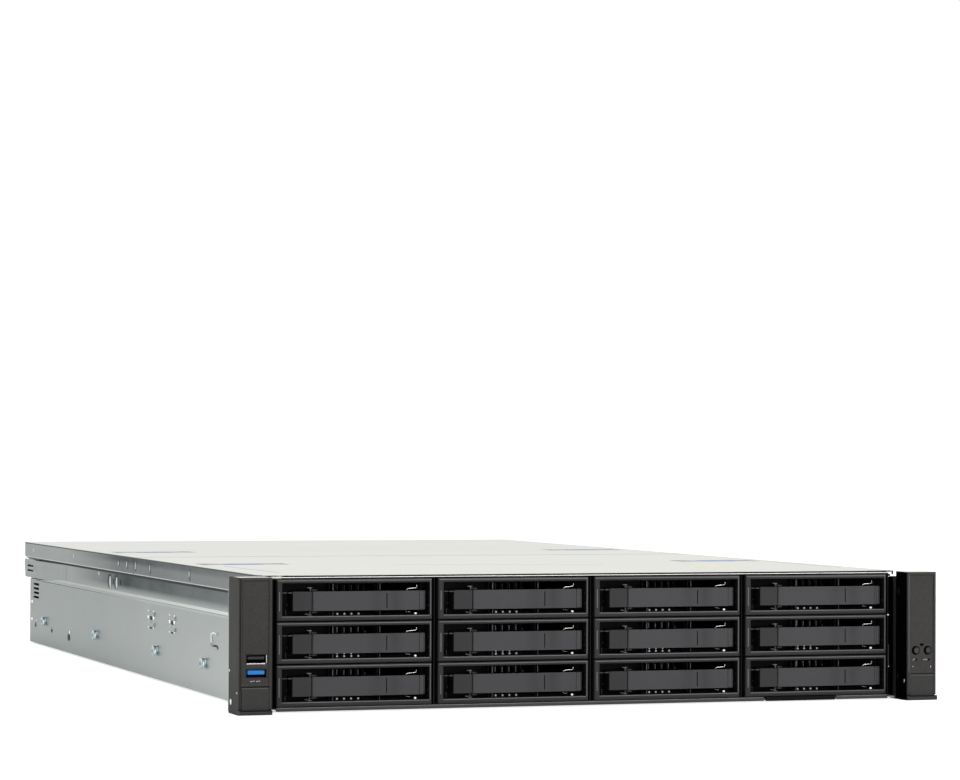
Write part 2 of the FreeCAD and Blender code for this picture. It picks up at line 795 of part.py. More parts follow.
def carrier_lever():
    """Pull lever: a flat bar with a rounded hinge end, a stiffener behind it and a slit in its face."""
    low = bar_bottom
    high = bar_bottom + bar_height
    front = bar_recess
    back = bar_recess + bar_sheet
    bar = block(lever_axis_in, lever_end, front, back, low, high)
    round_end = rod((lever_axis_in, lever_axis_deep, low), (0, 0, 1), bar_sheet / 2, bar_height)
    stiffener = block(lever_start + stiffener_inset, lever_end - stiffener_inset, back, back + stiffener_sheet,
                      low + stiffener_margin, high - stiffener_margin)
    slit = block(lever_slit_at, lever_slit_at + lever_slit_width, front - cut_past, front + lever_slit_depth,
                 low + lever_slit_margin, high - lever_slit_margin)
    return joined([bar, round_end, stiffener]).cut(slit)


def carrier_catch():
    """Sprung catch right of the lever: a bevelled face with a stem between its guides."""
    left = lever_end + catch_gap
    right = left + catch_width
    front = bar_recess
    back = bar_recess + bar_sheet
    step = back + catch_bevel
    face = plan_prism([(left, front), (left + catch_bevel / 2, front), (right, front + catch_bevel),
                       (right, step), (right - catch_stem_sheet, step),
                       (right - catch_stem_sheet, back), (left, back)],
                      bar_bottom, bar_bottom + bar_height)
    stem = block(right - catch_stem_sheet, right, step, bezel_depth - bezel_wall - running_gap,
                 bar_bottom + catch_stem_inset, bar_bottom + bar_height - catch_stem_inset)
    return joined([face, stem])


def placed(shape, column, row):
    """A carrier piece moved to its bay."""
    moved = shape.copy()
    moved.translate(Vector(column_left(column), carrier_front, row_floor(row)))
    return moved


# ---------------------------------------------------------------- ears and front controls
def ear_blank():
    """Right ear housing without its sockets: recessed panel, door pocket and a bevelled front."""
    body = front_chamfered(block(ear_inner, ear_outer, 0, ear_depth, 0, ear_height), ear_chamfer)
    panel = block(ear_inner + ear_panel_border, ear_outer - ear_panel_border, -cut_past, ear_panel_recess,
                  ear_panel_bottom, ear_height - ear_panel_border)
    pocket_left = ear_inner + ear_panel_border - running_gap
    pocket_right = ear_outer - ear_panel_border + running_gap
    door_back = door_sheet + running_gap
    pocket = block(pocket_left, pocket_right, -cut_past, door_back + screw_well_depth,
                   door_bottom, door_top + running_gap)
    lip_space = block(ear_inner - cut_past, ear_outer + cut_past, -cut_past, door_back,
                      -cut_past, door_bottom + running_gap)
    screw_well = block(rack_hole_spacing / 2 - rack_screw_head_radius - screw_well_gap, pocket_right, door_back,
                       door_back + screw_well_depth, rack_screw_height - rack_screw_head_radius - screw_well_gap,
                       door_bottom + cut_past)
    screw_hole = rod((rack_hole_spacing / 2, 0, rack_screw_height), (0, 1, 0),
                     rack_screw_radius + rack_screw_clearance, ear_depth + cut_past)
    notch = block(ear_inner - cut_past, ear_outer + cut_past, ear_notch_start, ear_depth + cut_past,
                  corner_notch_bottom, cover_top)
    return body.cut([panel, pocket, lip_space, screw_well, screw_hole, notch])


def right_ear():
    """Ear with the two button holes."""
    holes = [rod((ear_outer - inward, -cut_past, button_height), (0, 1, 0), button_radius + button_clearance,
                 button_length + button_stroke + 2 * cut_past) for inward in (power_button_in, id_button_in)]
    return ear_blank().cut(holes)


def socket_space(height, growth, front, rear):
    """Space that one front socket takes in the left ear, grown by a clearance."""
    middle = usb_shift - (ear_inner + ear_outer) / 2
    half_width = usb_shell_width / 2 + growth
    half_height = usb_shell_height / 2 + growth
    return block(middle - half_width, middle + half_width, front, rear, height - half_height, height + half_height)


def left_ear():
    """Ear with the two socket openings."""
    holes = [socket_space(height, seat_gap, -cut_past, usb_shell_depth + cut_past) for height in usb_heights]
    return mirrored(ear_blank()).cut(holes)


def usb_port(height):
    """Socket shell with its tongue."""
    middle = usb_shift - (ear_inner + ear_outer) / 2
    front = ear_panel_recess
    outer = socket_space(height, 0, front, usb_shell_depth)
    inner = socket_space(height, -usb_shell_sheet, front - cut_past, usb_shell_depth - usb_shell_back)
    tongue = block(middle - usb_tongue_width / 2, middle + usb_tongue_width / 2, front + usb_tongue_sink,
                   usb_shell_depth - usb_shell_back / 2, height + running_gap / 2, height + running_gap / 2 + usb_tongue_height)
    return joined([outer.cut(inner), tongue])


def ear_door():
    """Door over the right rack screw: a plate hinged at its top with a finger lip along its bottom."""
    left = ear_inner + ear_panel_border
    right = ear_outer - ear_panel_border
    plate = block(left, right, 0, door_sheet, door_lip_height, door_axis_height)
    knuckle = rod((left, door_axis_deep, door_axis_height), (1, 0, 0), door_sheet / 2, right - left)
    bottom = door_lip_bottom
    chamfer = door_lip_chamfer
    lip = side_prism([(door_sheet, bottom), (chamfer - door_lip_reach, bottom), (-door_lip_reach, bottom + chamfer),
                      (-door_lip_reach, door_lip_height - chamfer), (-chamfer, door_lip_height),
                      (door_sheet, door_lip_height)], ear_inner, ear_outer)
    return joined([plate, knuckle, lip])


def round_button(inward):
    """Round push button in the right ear."""
    return rod((ear_outer - inward, ear_panel_recess + button_sink, button_height), (0, 1, 0),
               button_radius, button_length)


def information_tag():
    """Pull-out card under the right drives, with a grip along its front."""
    left = tag_middle - tag_width / 2
    right = tag_middle + tag_width / 2
    card_low = pan_top + seat_gap
    card_front = cage_front - tag_stand
    card = block(left, right, card_front, card_front + tag_length, card_low, card_low + tag_sheet)
    grip_rear = cage_front - running_gap
    grip = block(left, right, grip_rear - tag_grip_depth, grip_rear, tag_grip_bottom, carrier_floor - tag_grip_gap)
    return joined([card, grip])


# ---------------------------------------------------------------- fasteners
def rail_stud(y):
    """Shoulder stud on the right side wall for an inner slide rail."""
    neck = faceted_rod((wall_outer, y, stud_height), (1, 0, 0), stud_neck_radius, stud_neck_length, small_sides)
    head = faceted_rod((wall_outer + stud_neck_length, y, stud_height), (1, 0, 0), stud_head_radius,
                       stud_head_length, small_sides)
    return joined([neck, head])


def rack_screw():
    """Captive screw behind the right ear door."""
    x = rack_hole_spacing / 2
    start = door_sheet + running_gap + rack_screw_sink
    shank_start = start + rack_screw_head_length
    thread_start = ear_depth + flange_sheet
    head = faceted_rod((x, start, rack_screw_height), (0, 1, 0), rack_screw_head_radius, rack_screw_head_length,
                       small_sides)
    shank = faceted_rod((x, shank_start, rack_screw_height), (0, 1, 0), rack_screw_shank_radius,
                        thread_start - shank_start, small_sides)
    thread = rod((x, thread_start, rack_screw_height), (0, 1, 0), rack_screw_radius, rack_screw_reach)
    return joined([head, shank, thread])


# ---------------------------------------------------------------- cooling
def fan_middle(index):
    """X place of one fan's axis."""
    return (index - (fan_count - 1) / 2) * fan_pitch


def fan_height():
    """Height of the fan axes."""
    return pan_top + fan_size / 2


def fan_housing(index):
    """Square frame with a round duct, and a hub with its shaft on four struts at the rear."""
    x = fan_middle(index)
    z = fan_height()
    frame = block(x - fan_size / 2, x + fan_size / 2, fan_front, fan_front + fan_depth, pan_top, pan_top + fan_size)
    frame = frame.cut(faceted_rod((x, fan_front - cut_past, z), (0, 1, 0), fan_bore_radius,
                                  fan_depth + 2 * cut_past, fan_duct_sides))
    rear = fan_front + fan_depth
    hub = faceted_rod((x, rear - fan_strut_depth, z), (0, 1, 0), fan_hub_radius, fan_strut_depth, fan_hub_sides)
    shaft_start = fan_front + fan_shaft_start + seat_gap
    shaft = rod((x, shaft_start, z), (0, 1, 0), fan_shaft_radius, rear - fan_strut_depth - shaft_start)
    struts = []
    reach = fan_bore_radius + fan_frame_wall / 2
    for turn in (45, 135):
        strut = block(-reach, reach, rear - fan_strut_depth, rear, -fan_strut_width / 2, fan_strut_width / 2)
        strut.rotate(Vector(0, 0, 0), Vector(0, 1, 0), turn)
        strut.translate(Vector(x, 0, z))
        struts.append(strut)
    return joined([frame, hub, shaft] + struts)


def blade_corners(radius, chord, pitch, depth):
    """Corners of a thin slanted rectangle that stands at one radius on the X axis."""
    turn = math.radians(pitch)
    along = Vector(0, math.cos(turn), math.sin(turn)) * (chord / 2)
    across = Vector(0, -math.sin(turn), math.cos(turn)) * (blade_sheet / 2)
    middle = Vector(radius, depth, 0)
    return [middle + along * a + across * b for a, b in ((-1, -1), (1, -1), (1, 1), (-1, 1))]


def fan_blade(depth):
    """One twisted blade: two end faces and four sides, each folded along its diagonal."""
    root = blade_corners(fan_hub_radius - blade_sheet, blade_root_chord, blade_root_pitch, depth)
    tip = blade_corners(fan_bore_radius - fan_tip_gap, blade_tip_chord, blade_tip_pitch, depth)
    faces = [Part.Face(Part.makePolygon(end + end[:1])) for end in (root, tip)]
    for index in range(4):
        after = (index + 1) % 4
        for corners in ((root[index], root[after], tip[after]), (root[index], tip[after], tip[index])):
            faces.append(Part.Face(Part.makePolygon(list(corners) + [corners[0]])))
    blade = Part.Solid(Part.Shell(faces))
    if blade.Volume < 0:
        blade.reverse()
    return blade


def fan_rotor(index):
    """Hub cup with twisted blades, bored for the shaft."""
    depth = fan_depth - fan_strut_depth - fan_hub_short
    hub = faceted_rod((0, 0, 0), (0, 1, 0), fan_hub_radius, depth, fan_hub_sides)
    blade = fan_blade(depth / 2)
    blades = []
    for count in range(fan_blades):
        copy = blade.copy()
        copy.rotate(Vector(0, 0, 0), Vector(0, 1, 0), 360.0 * count / fan_blades)
        blades.append(copy)
    bore = rod((0, fan_shaft_start - fan_rotor_start, 0), (0, 1, 0),
               fan_shaft_radius + fan_shaft_clearance, depth)
    rotor = joined([hub] + blades).cut(bore)
    rotor.translate(Vector(fan_middle(index), fan_front + fan_rotor_start, fan_height()))
    return rotor


# ---------------------------------------------------------------- electronics
def heat_sink(x):
    """Finned cooler on a processor."""
    front = board_front + cooler_behind
    rear = front + sink_length
    left = x - sink_width / 2
    right = x + sink_width / 2
    low = board_surface + processor_height
    pieces = [block(left, right, front, rear, low, low + sink_base),
              block(left + processor_inset, right - processor_inset, front + processor_end_inset,
                    rear - processor_end_inset, board_surface, low)]
    pitch = (sink_width - fin_sheet) / (fin_count - 1)
    for index in range(fin_count):
        fin_left = left + pitch * index
        pieces.append(block(fin_left, fin_left + fin_sheet, front, rear, low + sink_base, low + sink_height))
    return joined(pieces)


def memory_bank(left):
    """A row of memory modules in their sockets."""
    front = board_front + memory_behind
    return [block(left + memory_pitch * index, left + memory_pitch * index + memory_sheet, front,
                  front + memory_length, board_surface, board_surface + memory_height)
            for index in range(memory_per_bank)]


def socket_blocks():
    """Network, display and serial sockets at the rear edge of the system board."""
    rear = rear_wall_at - pan_sheet - seat_gap
    low = board_surface
    shapes = []
    for place in network_sockets:
        left = opening_left + place
        body = block(left, left + socket_width, rear - socket_depth, rear, low, low + socket_height)
        hole = block(left + socket_wall, left + socket_width - socket_wall, rear - socket_hole_depth, rear + cut_past,
                     low + socket_wall, low + socket_height - socket_wall)
        shapes.append(body.cut(hole))
    for place, width in zip(plain_sockets, plain_socket_widths):
        left = opening_left + place
        shapes.append(block(left, left + width, rear - plain_socket_depth, rear,
                            low, low + socket_height - plain_socket_drop))
    return shapes


def system_board():
    """Board with coolers, memory and rear sockets, each its own solid."""
    shapes = [block(board_left, board_right, board_front, board_rear, pan_top + board_lift, board_surface)]
    middle = (board_left + board_right) / 2
    for x in (middle - cooler_pitch / 2, middle + cooler_pitch / 2):
        shapes.append(heat_sink(x))
        shapes += memory_bank(x - sink_width / 2 - memory_gap - bank_width)
        shapes += memory_bank(x + sink_width / 2 + memory_gap)
    return shapes + socket_blocks()


def expansion_cage():
    """Riser bracket with its card, and one sheet behind the rear slots."""
    rear = rear_wall_at - pan_sheet - seat_gap
    front = rear - riser_length
    left = slot_left - riser_margin_left
    right = slot_left + slot_width + riser_margin_right
    low = board_surface + riser_low_gap
    high = flange_under - riser_top_gap
    cage = joined([block(left, right, front, rear, high - pan_sheet, high),
                   block(right - pan_sheet, right, front, rear, low, high),
                   block(left, right, rear - pan_sheet, rear, low, high)])
    card_left = right - riser_card_in
    card = block(card_left, card_left + board_sheet, front + riser_card_front, rear - riser_card_rear,
                 board_surface, high - pan_sheet)
    return [cage, card]


# ---------------------------------------------------------------- power supplies
def supply_floor_of(index):
    """Underside of one supply, counted from the bottom."""
    return supply_floor + supply_pitch * index


def latch_space(index, gap, stroke, rear):
    """Space that the release latch of a supply takes, with a gap round it and its stroke."""
    right = supply_right - latch_side
    low = supply_floor_of(index) + latch_rise
    return block(right - latch_width - gap - stroke, right + gap, rear_wall_at - latch_depth + latch_gap - gap,
                 rear, low - gap, low + latch_height + gap)


def power_supply(index):
    """Supply body with its inlet, fan grille and handle."""
    low = supply_floor_of(index)
    high = low + supply_height
    body = block(supply_left, supply_right, supply_front, rear_wall_at, low, high)
    inlet_left = supply_left + inlet_side
    inlet_low = low + inlet_rise
    inlet_back = rear_wall_at - inlet_depth
    inlet = block(inlet_left, inlet_left + inlet_width, inlet_back, rear_wall_at + cut_past,
                  inlet_low, inlet_low + inlet_height)
    grille_left = inlet_left + inlet_width + grille_gap
    grille_right = supply_right - latch_side - latch_width - latch_grille_gap
    pitch = (supply_height - 2 * grille_margin + grille_bar) / grille_lines
    grille = []
    for line in range(grille_lines):
        line_low = low + grille_margin + pitch * line
        grille.append(block(grille_left, grille_right, rear_wall_at - grille_depth, rear_wall_at + cut_past,
                            line_low, line_low + pitch - grille_bar))
    pins = []
    for step in (-1, 0, 1):
        pin_left = inlet_left + inlet_width / 2 + inlet_pin_pitch * step - inlet_pin_width / 2
        pins.append(block(pin_left, pin_left + inlet_pin_width, inlet_back, rear_wall_at - inlet_pin_sink,
                          inlet_low + inlet_pin_rise, inlet_low + inlet_pin_rise + inlet_pin_height))
    handle_left = (grille_left + grille_right - handle_width) / 2
    handle = handle_loop(handle_left, handle_left + handle_width, low + handle_margin, high - handle_margin)
    socket = latch_space(index, latch_gap, latch_stroke, rear_wall_at + cut_past)
    return joined([body.cut([inlet, socket] + grille), handle] + pins)


def handle_loop(left, right, low, high):
    """Upright loop handle standing behind a supply."""
    reach = rear_wall_at + supply_handle_reach
    corner = handle_corner
    outer = side_prism([(rear_wall_at, low), (reach - corner, low), (reach, low + corner), (reach, high - corner),
                        (reach - corner, high), (rear_wall_at, high)], left, right)
    return outer.cut(block(left - cut_past, right + cut_past, rear_wall_at - cut_past, reach - handle_wall,
                           low + handle_wall, high - handle_wall))


def supply_latch(index):
    """Release latch beside the handle: a block with a thumb tab."""
    right = supply_right - latch_side
    low = supply_floor_of(index) + latch_rise
    tab = block(right - latch_tab_width, right, rear_wall_at, rear_wall_at + latch_tab_reach,
                low + latch_tab_inset, low + latch_height - latch_tab_inset)
    return joined([latch_space(index, 0, 0, rear_wall_at), tab])


# ---------------------------------------------------------------- build
def build():
    """Write every node."""
    os.makedirs("parts", exist_ok=True)
    save("chassis_pan", [chassis_pan()])
    save("front_cover", [front_cover()])
    save("rear_cover", [rear_cover()])
    save("drive_cage", [drive_cage()])
    save("drive_backplane", [drive_backplane()])
    body = joined([bezel()] + carrier_rails())
    drive = hard_drive()
    lever = carrier_lever()
    catch = carrier_catch()
    for column in range(columns):
        for row in range(rows):
            place = "%d%d" % (rows - row, column + 1)
            save("carrier_" + place, [placed(body, column, row), placed(drive, column, row)])
            save("lever_" + place, [placed(lever, column, row)])
            save("catch_" + place, [placed(catch, column, row)])
    save("left_ear", [left_ear()])
    save("right_ear", [right_ear()])
    save("usb_ports", [usb_port(height) for height in usb_heights])
    door = ear_door()
    save("right_door", [door])
    save("left_door", [mirrored(door)])
    save("power_button", [round_button(power_button_in)])
    save("id_button", [round_button(id_button_in)])
    save("information_tag", [information_tag()])
    save("fasteners", with_mirrored([rail_stud(y) for y in stud_places] + [rack_screw()]))
    save("fan_housings", [fan_housing(index) for index in range(fan_count)])
    for index in range(fan_count):
        save("fan_rotor_%d" % (index + 1), [fan_rotor(index)])
    save("system_board", system_board())
    save("expansion_cage", expansion_cage())
    for index in range(2):
        save("power_supply_%d" % (index + 1), [power_supply(index)])
        save("supply_latch_%d" % (index + 1), [supply_latch(index)])


build()
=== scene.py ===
import json
import math

import bmesh
import bpy
from mathutils import Matrix, Vector


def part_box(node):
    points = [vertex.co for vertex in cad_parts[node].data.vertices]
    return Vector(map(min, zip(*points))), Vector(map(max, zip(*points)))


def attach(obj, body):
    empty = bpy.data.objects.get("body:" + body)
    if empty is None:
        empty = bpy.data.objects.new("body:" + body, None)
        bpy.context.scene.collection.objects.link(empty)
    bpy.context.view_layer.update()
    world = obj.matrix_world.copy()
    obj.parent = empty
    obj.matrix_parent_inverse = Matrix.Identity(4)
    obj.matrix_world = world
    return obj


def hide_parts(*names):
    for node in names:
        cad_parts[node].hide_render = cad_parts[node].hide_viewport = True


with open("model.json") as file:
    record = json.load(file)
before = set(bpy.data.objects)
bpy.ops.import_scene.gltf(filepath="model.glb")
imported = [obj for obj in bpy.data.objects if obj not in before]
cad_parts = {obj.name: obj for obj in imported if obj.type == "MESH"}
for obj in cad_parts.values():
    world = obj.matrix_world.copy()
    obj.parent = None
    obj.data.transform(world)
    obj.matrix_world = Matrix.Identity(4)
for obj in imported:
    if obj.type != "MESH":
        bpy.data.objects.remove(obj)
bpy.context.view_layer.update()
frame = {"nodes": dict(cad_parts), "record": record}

MM = 0.001
NODES = frame["nodes"]
RECORD = frame["record"]
BODY_OF = {node: body for body, nodes in RECORD["behaviour"]["bodies"].items() for node in nodes}
SLOT_OF = {entry["node"]: entry["material_slot"] for entry in RECORD["subparts"]}
BAYS = ["%d%d" % (row, column) for row in (1, 2, 3) for column in (1, 2, 3, 4)]
SIDES = ((-1, "left"), (1, "right"))


def box_mm(node):
    """Lowest and highest corner of a CAD node, in millimetres."""
    low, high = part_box(node)
    return low / MM, high / MM


# ------------------------------------------------------------------ sizes in millimetres
EAR_LOW, EAR_HIGH = box_mm("right_ear")
LEFT_LOW, LEFT_HIGH = box_mm("left_ear")
COVER_LOW, COVER_HIGH = box_mm("front_cover")
TAG_LOW, TAG_HIGH = box_mm("information_tag")
BAY_LOW = box_mm("carrier_11")[0]
FRONT = EAR_LOW.y             # front face of the ears
TOP = COVER_HIGH.z            # top of the covers
WALL = 221.3                  # outside of the lower side walls
BAND = 218.3                  # outside of the upper side bands
BOARD_TOP = 10.0              # top of the main board
# A carrier, from its left side, its face and its underside
RAIL_OVER = 0.9               # the rails stand this far past the carrier's sides
POCKET_LEFT, POCKET_RIGHT = 3.6, 101.3
POCKET_LOW = 3.0
BAR_LOW, BAR_HIGH = 6.3, 18.5
BAR_FRONT = 0.8
PAD_LEFT, PAD_RIGHT = 10.8, 23.2
SLIT_PLACE = 73.3             # slit in the lever, from the rails' outside
LID_TOP = 25.8
FIN_PLACES = (44.0, 48.7, 53.4, 58.1, 62.7)
GLINT_DOT_PLACES = (43.4, 48.1, 52.8, 57.5)
RIB_PLACES = (37.4, 68.6)


def at(x, behind, z):
    """A point counted from the middle, from the ear fronts and from the table."""
    return Vector((x, FRONT + behind, z))


def tray(across, deep, up):
    """A point of the first carrier, from its left side, its face and its underside."""
    return Vector((BAY_LOW.x + RAIL_OVER + across, BAY_LOW.y + deep, BAY_LOW.z + up))


def turns(count):
    """Evenly spaced angles of one full turn."""
    return [2 * math.pi * step / count for step in range(count)]


# ------------------------------------------------------------------ meshes and pieces
FINISH = {}                   # materials by short name
SLOT_FOR = {}                 # the record's slot that each of them belongs to


class Form:
    """A mesh in the making: each call adds a shape, in millimetres, and gives the form back."""

    def __init__(self, bm=None):
        self.bm = bmesh.new() if bm is None else bm

    def box(self, low, high):
        """A box between two corners."""
        low = Vector(low) * MM
        high = Vector(high) * MM
        matrix = Matrix.Translation((low + high) / 2) @ Matrix.Diagonal((*(high - low), 1))
        bmesh.ops.create_cube(self.bm, size=1, matrix=matrix)
        return self

    def span(self, x, other_x, front, rear, low, high):
        """A box between two places across, two behind the ear fronts and two heights."""
        left, right = sorted((x, other_x))
        return self.box(at(left, front, low), at(right, rear, high))

    def tray(self, left, right, front, back, low, high):
        """A box in the first carrier's own measures."""
        return self.box(tray(left, front, low), tray(right, back, high))

    def rod(self, start, end, radius, end_radius=None, segments=20):
        """A round bar, or a cone when its end has another radius."""
        start = Vector(start) * MM
        end = Vector(end) * MM
        along = end - start
        turn = Vector((0, 0, 1)).rotation_difference(along).to_matrix().to_4x4()
        other = radius if end_radius is None else end_radius
        bmesh.ops.create_cone(self.bm, cap_ends=True, segments=segments, radius1=radius * MM,
                              radius2=other * MM, depth=along.length,
                              matrix=Matrix.Translation((start + end) / 2) @ turn)
        return self

    def dome(self, centre, radius, scale=(1, 1, 1), segments=16):
        """A ball, flattened or stretched by a scale."""
        matrix = Matrix.Translation(Vector(centre) * MM) @ Matrix.Diagonal((*scale, 1))
        bmesh.ops.create_uvsphere(self.bm, u_segments=segments, v_segments=segments // 2,
                                  radius=radius * MM, matrix=matrix)
        return self

    def prism(self, points, travel):
        """A polygon pushed along a travel vector."""
        travel = Vector(travel) * MM
        low = [self.bm.verts.new(Vector(point) * MM) for point in points]
        high = [self.bm.verts.new(vertex.co + travel) for vertex in low]
        self.bm.faces.new(low[::-1])
        self.bm.faces.new(high)
        for index in range(len(low)):
            after = (index + 1) % len(low)
            self.bm.faces.new((low[index], low[after], high[after], high[index]))
        return self

    def wire(self, points, radius, segments=8):
        """A bent wire through points, with a ball at each bend."""
        for start, end in zip(points, points[1:]):
            self.rod(start, end, radius, segments=segments)
        for point in points[1:-1]:
            self.dome(point, radius, segments=segments)
        return self

    def band(self, centre, front, thick, angles, inner, outer):
        """A flat band round a centre, seen from the front, between two changing radii."""
        for turn, after in zip(angles, angles[1:]):
            corners = ((inner(turn), turn), (outer(turn), turn),
                       (outer(after), after), (inner(after), after))
            self.prism([(centre.x + reach * math.cos(angle), front,
                         centre.z + reach * math.sin(angle)) for reach, angle in corners],
                       (0, thick, 0))
        return self

    def mesh(self, name, finish):
        """The finished mesh with its material."""
        bmesh.ops.recalc_face_normals(self.bm, faces=self.bm.faces)
        mesh = bpy.data.meshes.new(name)
        self.bm.to_mesh(mesh)
        self.bm.free()
        mesh.materials.append(FINISH[finish])
        return mesh

    def make(self, name, finish, body="chassis", bevel=0.0, slot=None):
        """Put the form in the scene as one piece."""
        return place(name, self.mesh(name, finish), body, bevel)


def place(name, mesh, body, bevel=0.0, segments=2, offset=(0, 0, 0)):
    """Put a mesh in the scene as a piece that rides on a body, with rounded edges."""
    piece = bpy.data.objects.new(name, mesh)
    bpy.context.scene.collection.objects.link(piece)
    piece.location = offset
    mesh.shade_smooth()
    if bevel > 0:
        rounding = piece.modifiers.new("rounded edges", "BEVEL")
        rounding.width = bevel * MM
        rounding.segments = segments
        rounding.limit_method = "ANGLE"
        rounding.angle_limit = math.radians(30)
        rounding.use_clamp_overlap = True
    piece.modifiers.new("even shading", "WEIGHTED_NORMAL").weight = 100
    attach(piece, body)
    return piece


def solids_of(node):
    """The separate solids of a CAD node, each as a clean mesh whose flat faces are whole."""
    whole = bmesh.new()
    whole.from_mesh(NODES[node].data)
    bmesh.ops.remove_doubles(whole, verts=whole.verts, dist=0.002 * MM)
    left = set(whole.faces)
    solids = []
    for seed in list(whole.faces):
        if seed not in left:
            continue
        left.discard(seed)
        group = [seed]
        for face in group:
            for edge in face.edges:
                for other in edge.link_faces:
                    if other in left:
                        left.discard(other)
                        group.append(other)
        solid = bmesh.new()
        copies = {}
        for face in group:
            for vertex in face.verts:
                if vertex not in copies:
                    copies[vertex] = solid.verts.new(vertex.co)
            solid.faces.new([copies[vertex] for vertex in face.verts])
        bmesh.ops.dissolve_limit(solid, angle_limit=math.radians(0.5), verts=solid.verts,
                                 edges=solid.edges)
        solids.append(solid)
    whole.free()
    return solids


def corners_of(bm):
    """Lowest and highest corner of a mesh in the making, in millimetres."""
    return [Vector([pick(vertex.co[axis] for vertex in bm.verts) for axis in range(3)]) / MM
            for pick in (min, max)]


def boxes_of(node):
    """Lowest and highest corner of each solid of a CAD node."""
    found = []
    for solid in solids_of(node):
        found.append(corners_of(solid))
        solid.free()
    return found


def skins(nodes, finish, bevel, segments=2):
    """Pieces that stand for CAD nodes, with the small edge radii of the real parts."""
    for node in nodes.split():
        solids = solids_of(node)
        for index, solid in enumerate(solids):
            name = node + ("_skin" if len(solids) == 1 else "_skin_%d" % (index + 1))
            piece = place(name, Form(solid).mesh(name, finish), BODY_OF[node],
                          bevel, segments)
            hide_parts(node)


# ------------------------------------------------------------------ shader helpers
def feed(tree, value, socket):
    """Link an output to a socket, or set the socket to a plain value."""
    if isinstance(value, bpy.types.NodeSocket):
        tree.links.new(value, socket)
    else:
        socket.default_value = value


def maths(tree, operation, *values):
    """A math node's result."""
    node = tree.nodes.new("ShaderNodeMath")
    node.operation = operation
    for socket, value in zip(node.inputs, values):
        feed(tree, value, socket)
    return node.outputs[0]


def product(tree, result, *others):
    """Values multiplied one after the other."""
    for other in others:
        result = maths(tree, "MULTIPLY", result, other)
    return result


def spread(tree, value, low, high, from_low=0.0, from_high=1.0):
    """A value moved from one range to another and held inside it."""
    node = tree.nodes.new("ShaderNodeMapRange")
    numbers = {"From Min": from_low, "From Max": from_high, "To Min": low, "To Max": high}
    for label, number in numbers.items():
        feed(tree, number, node.inputs[label])
    feed(tree, value, node.inputs["Value"])
    return node.outputs[0]


def tinted(tree, colour, shade):
    """A colour made lighter or darker by a shade."""
    node = tree.nodes.new("ShaderNodeVectorMath")
    node.operation = "SCALE"
    feed(tree, colour, node.inputs[0])
    feed(tree, shade, node.inputs["Scale"])
    return node.outputs[0]


def mixed(tree, mask, first, second):
    """Two colours mixed by a mask."""
    node = tree.nodes.new("ShaderNodeMix")
    node.data_type = "RGBA"
    for index, value in ((0, mask), (6, first), (7, second)):
        feed(tree, value, node.inputs[index])
    return node.outputs[2]


def on_object(tree):
    """Where a point of the surface is on the object."""
    return tree.nodes.new("ShaderNodeTexCoord").outputs["Object"]


def parts_of(tree, vector):
    """The X, Y and Z of a place or a normal."""
    node = tree.nodes.new("ShaderNodeSeparateXYZ")
    feed(tree, vector, node.inputs[0])
    return node.outputs


def facing_up(tree):
    """How far the surface looks up."""
    return parts_of(tree, tree.nodes.new("ShaderNodeNewGeometry").outputs["Normal"])["Z"]


def surface_noise(tree, scale, detail=2.0, roughness=0.5, stretch=None):
    """Noise over the surface, stretched along an axis when asked."""
    coords = on_object(tree)
    if stretch:
        mapping = tree.nodes.new("ShaderNodeMapping")
        mapping.inputs["Scale"].default_value = stretch
        tree.links.new(coords, mapping.inputs["Vector"])
        coords = mapping.outputs[0]
    noise = tree.nodes.new("ShaderNodeTexNoise")
    settings = {"Vector": coords, "Scale": scale, "Detail": detail, "Roughness": roughness}
    for label, value in settings.items():
        feed(tree, value, noise.inputs[label])
    return noise.outputs["Fac"]


# ------------------------------------------------------------------ shared surface effects
FLOAT = "NodeSocketFloat"
COLOUR = "NodeSocketColor"
SURFACE = {"Colour": COLOUR, "Roughness": FLOAT, "Height": FLOAT}


def effect(name, build, inputs, outputs=None):
    """A node group: its inputs with their defaults, and the outputs that build works out."""
    outputs = outputs or {"Mask": FLOAT}
    group = bpy.data.node_groups.new(name, "ShaderNodeTree")
    for label, default in inputs.items():
        kind = COLOUR if isinstance(default, tuple) else FLOAT
        socket = group.interface.new_socket(label, in_out="INPUT", socket_type=kind)
        socket.default_value = default
    for label, kind in outputs.items():
        group.interface.new_socket(label, in_out="OUTPUT", socket_type=kind)
    given = group.nodes.new("NodeGroupInput").outputs
    result = group.nodes.new("NodeGroupOutput").inputs
    for label, value in zip(outputs, build(group, given)):
        feed(group, value, result[label])
    return group


def edge_wear(tree, given):
    """Where an edge is rubbed, from the turn between the true and the rounded normal."""
    rounding = tree.nodes.new("ShaderNodeBevel")
    rounding.samples = 4
    feed(tree, given["Width"], rounding.inputs["Radius"])
    turn = tree.nodes.new("ShaderNodeVectorMath")
    turn.operation = "DOT_PRODUCT"
    feed(tree, rounding.outputs[0], turn.inputs[0])
    feed(tree, tree.nodes.new("ShaderNodeNewGeometry").outputs["True Normal"], turn.inputs[1])
    bent = maths(tree, "SUBTRACT", 1.0, turn.outputs["Value"])
    patchy = spread(tree, surface_noise(tree, 90.0, 4.0, 0.65), 0.0, 1.0, 0.42, 0.6)
    return [product(tree, spread(tree, bent, 0.0, 1.0, 0.03, 0.22), patchy, given["Amount"])]


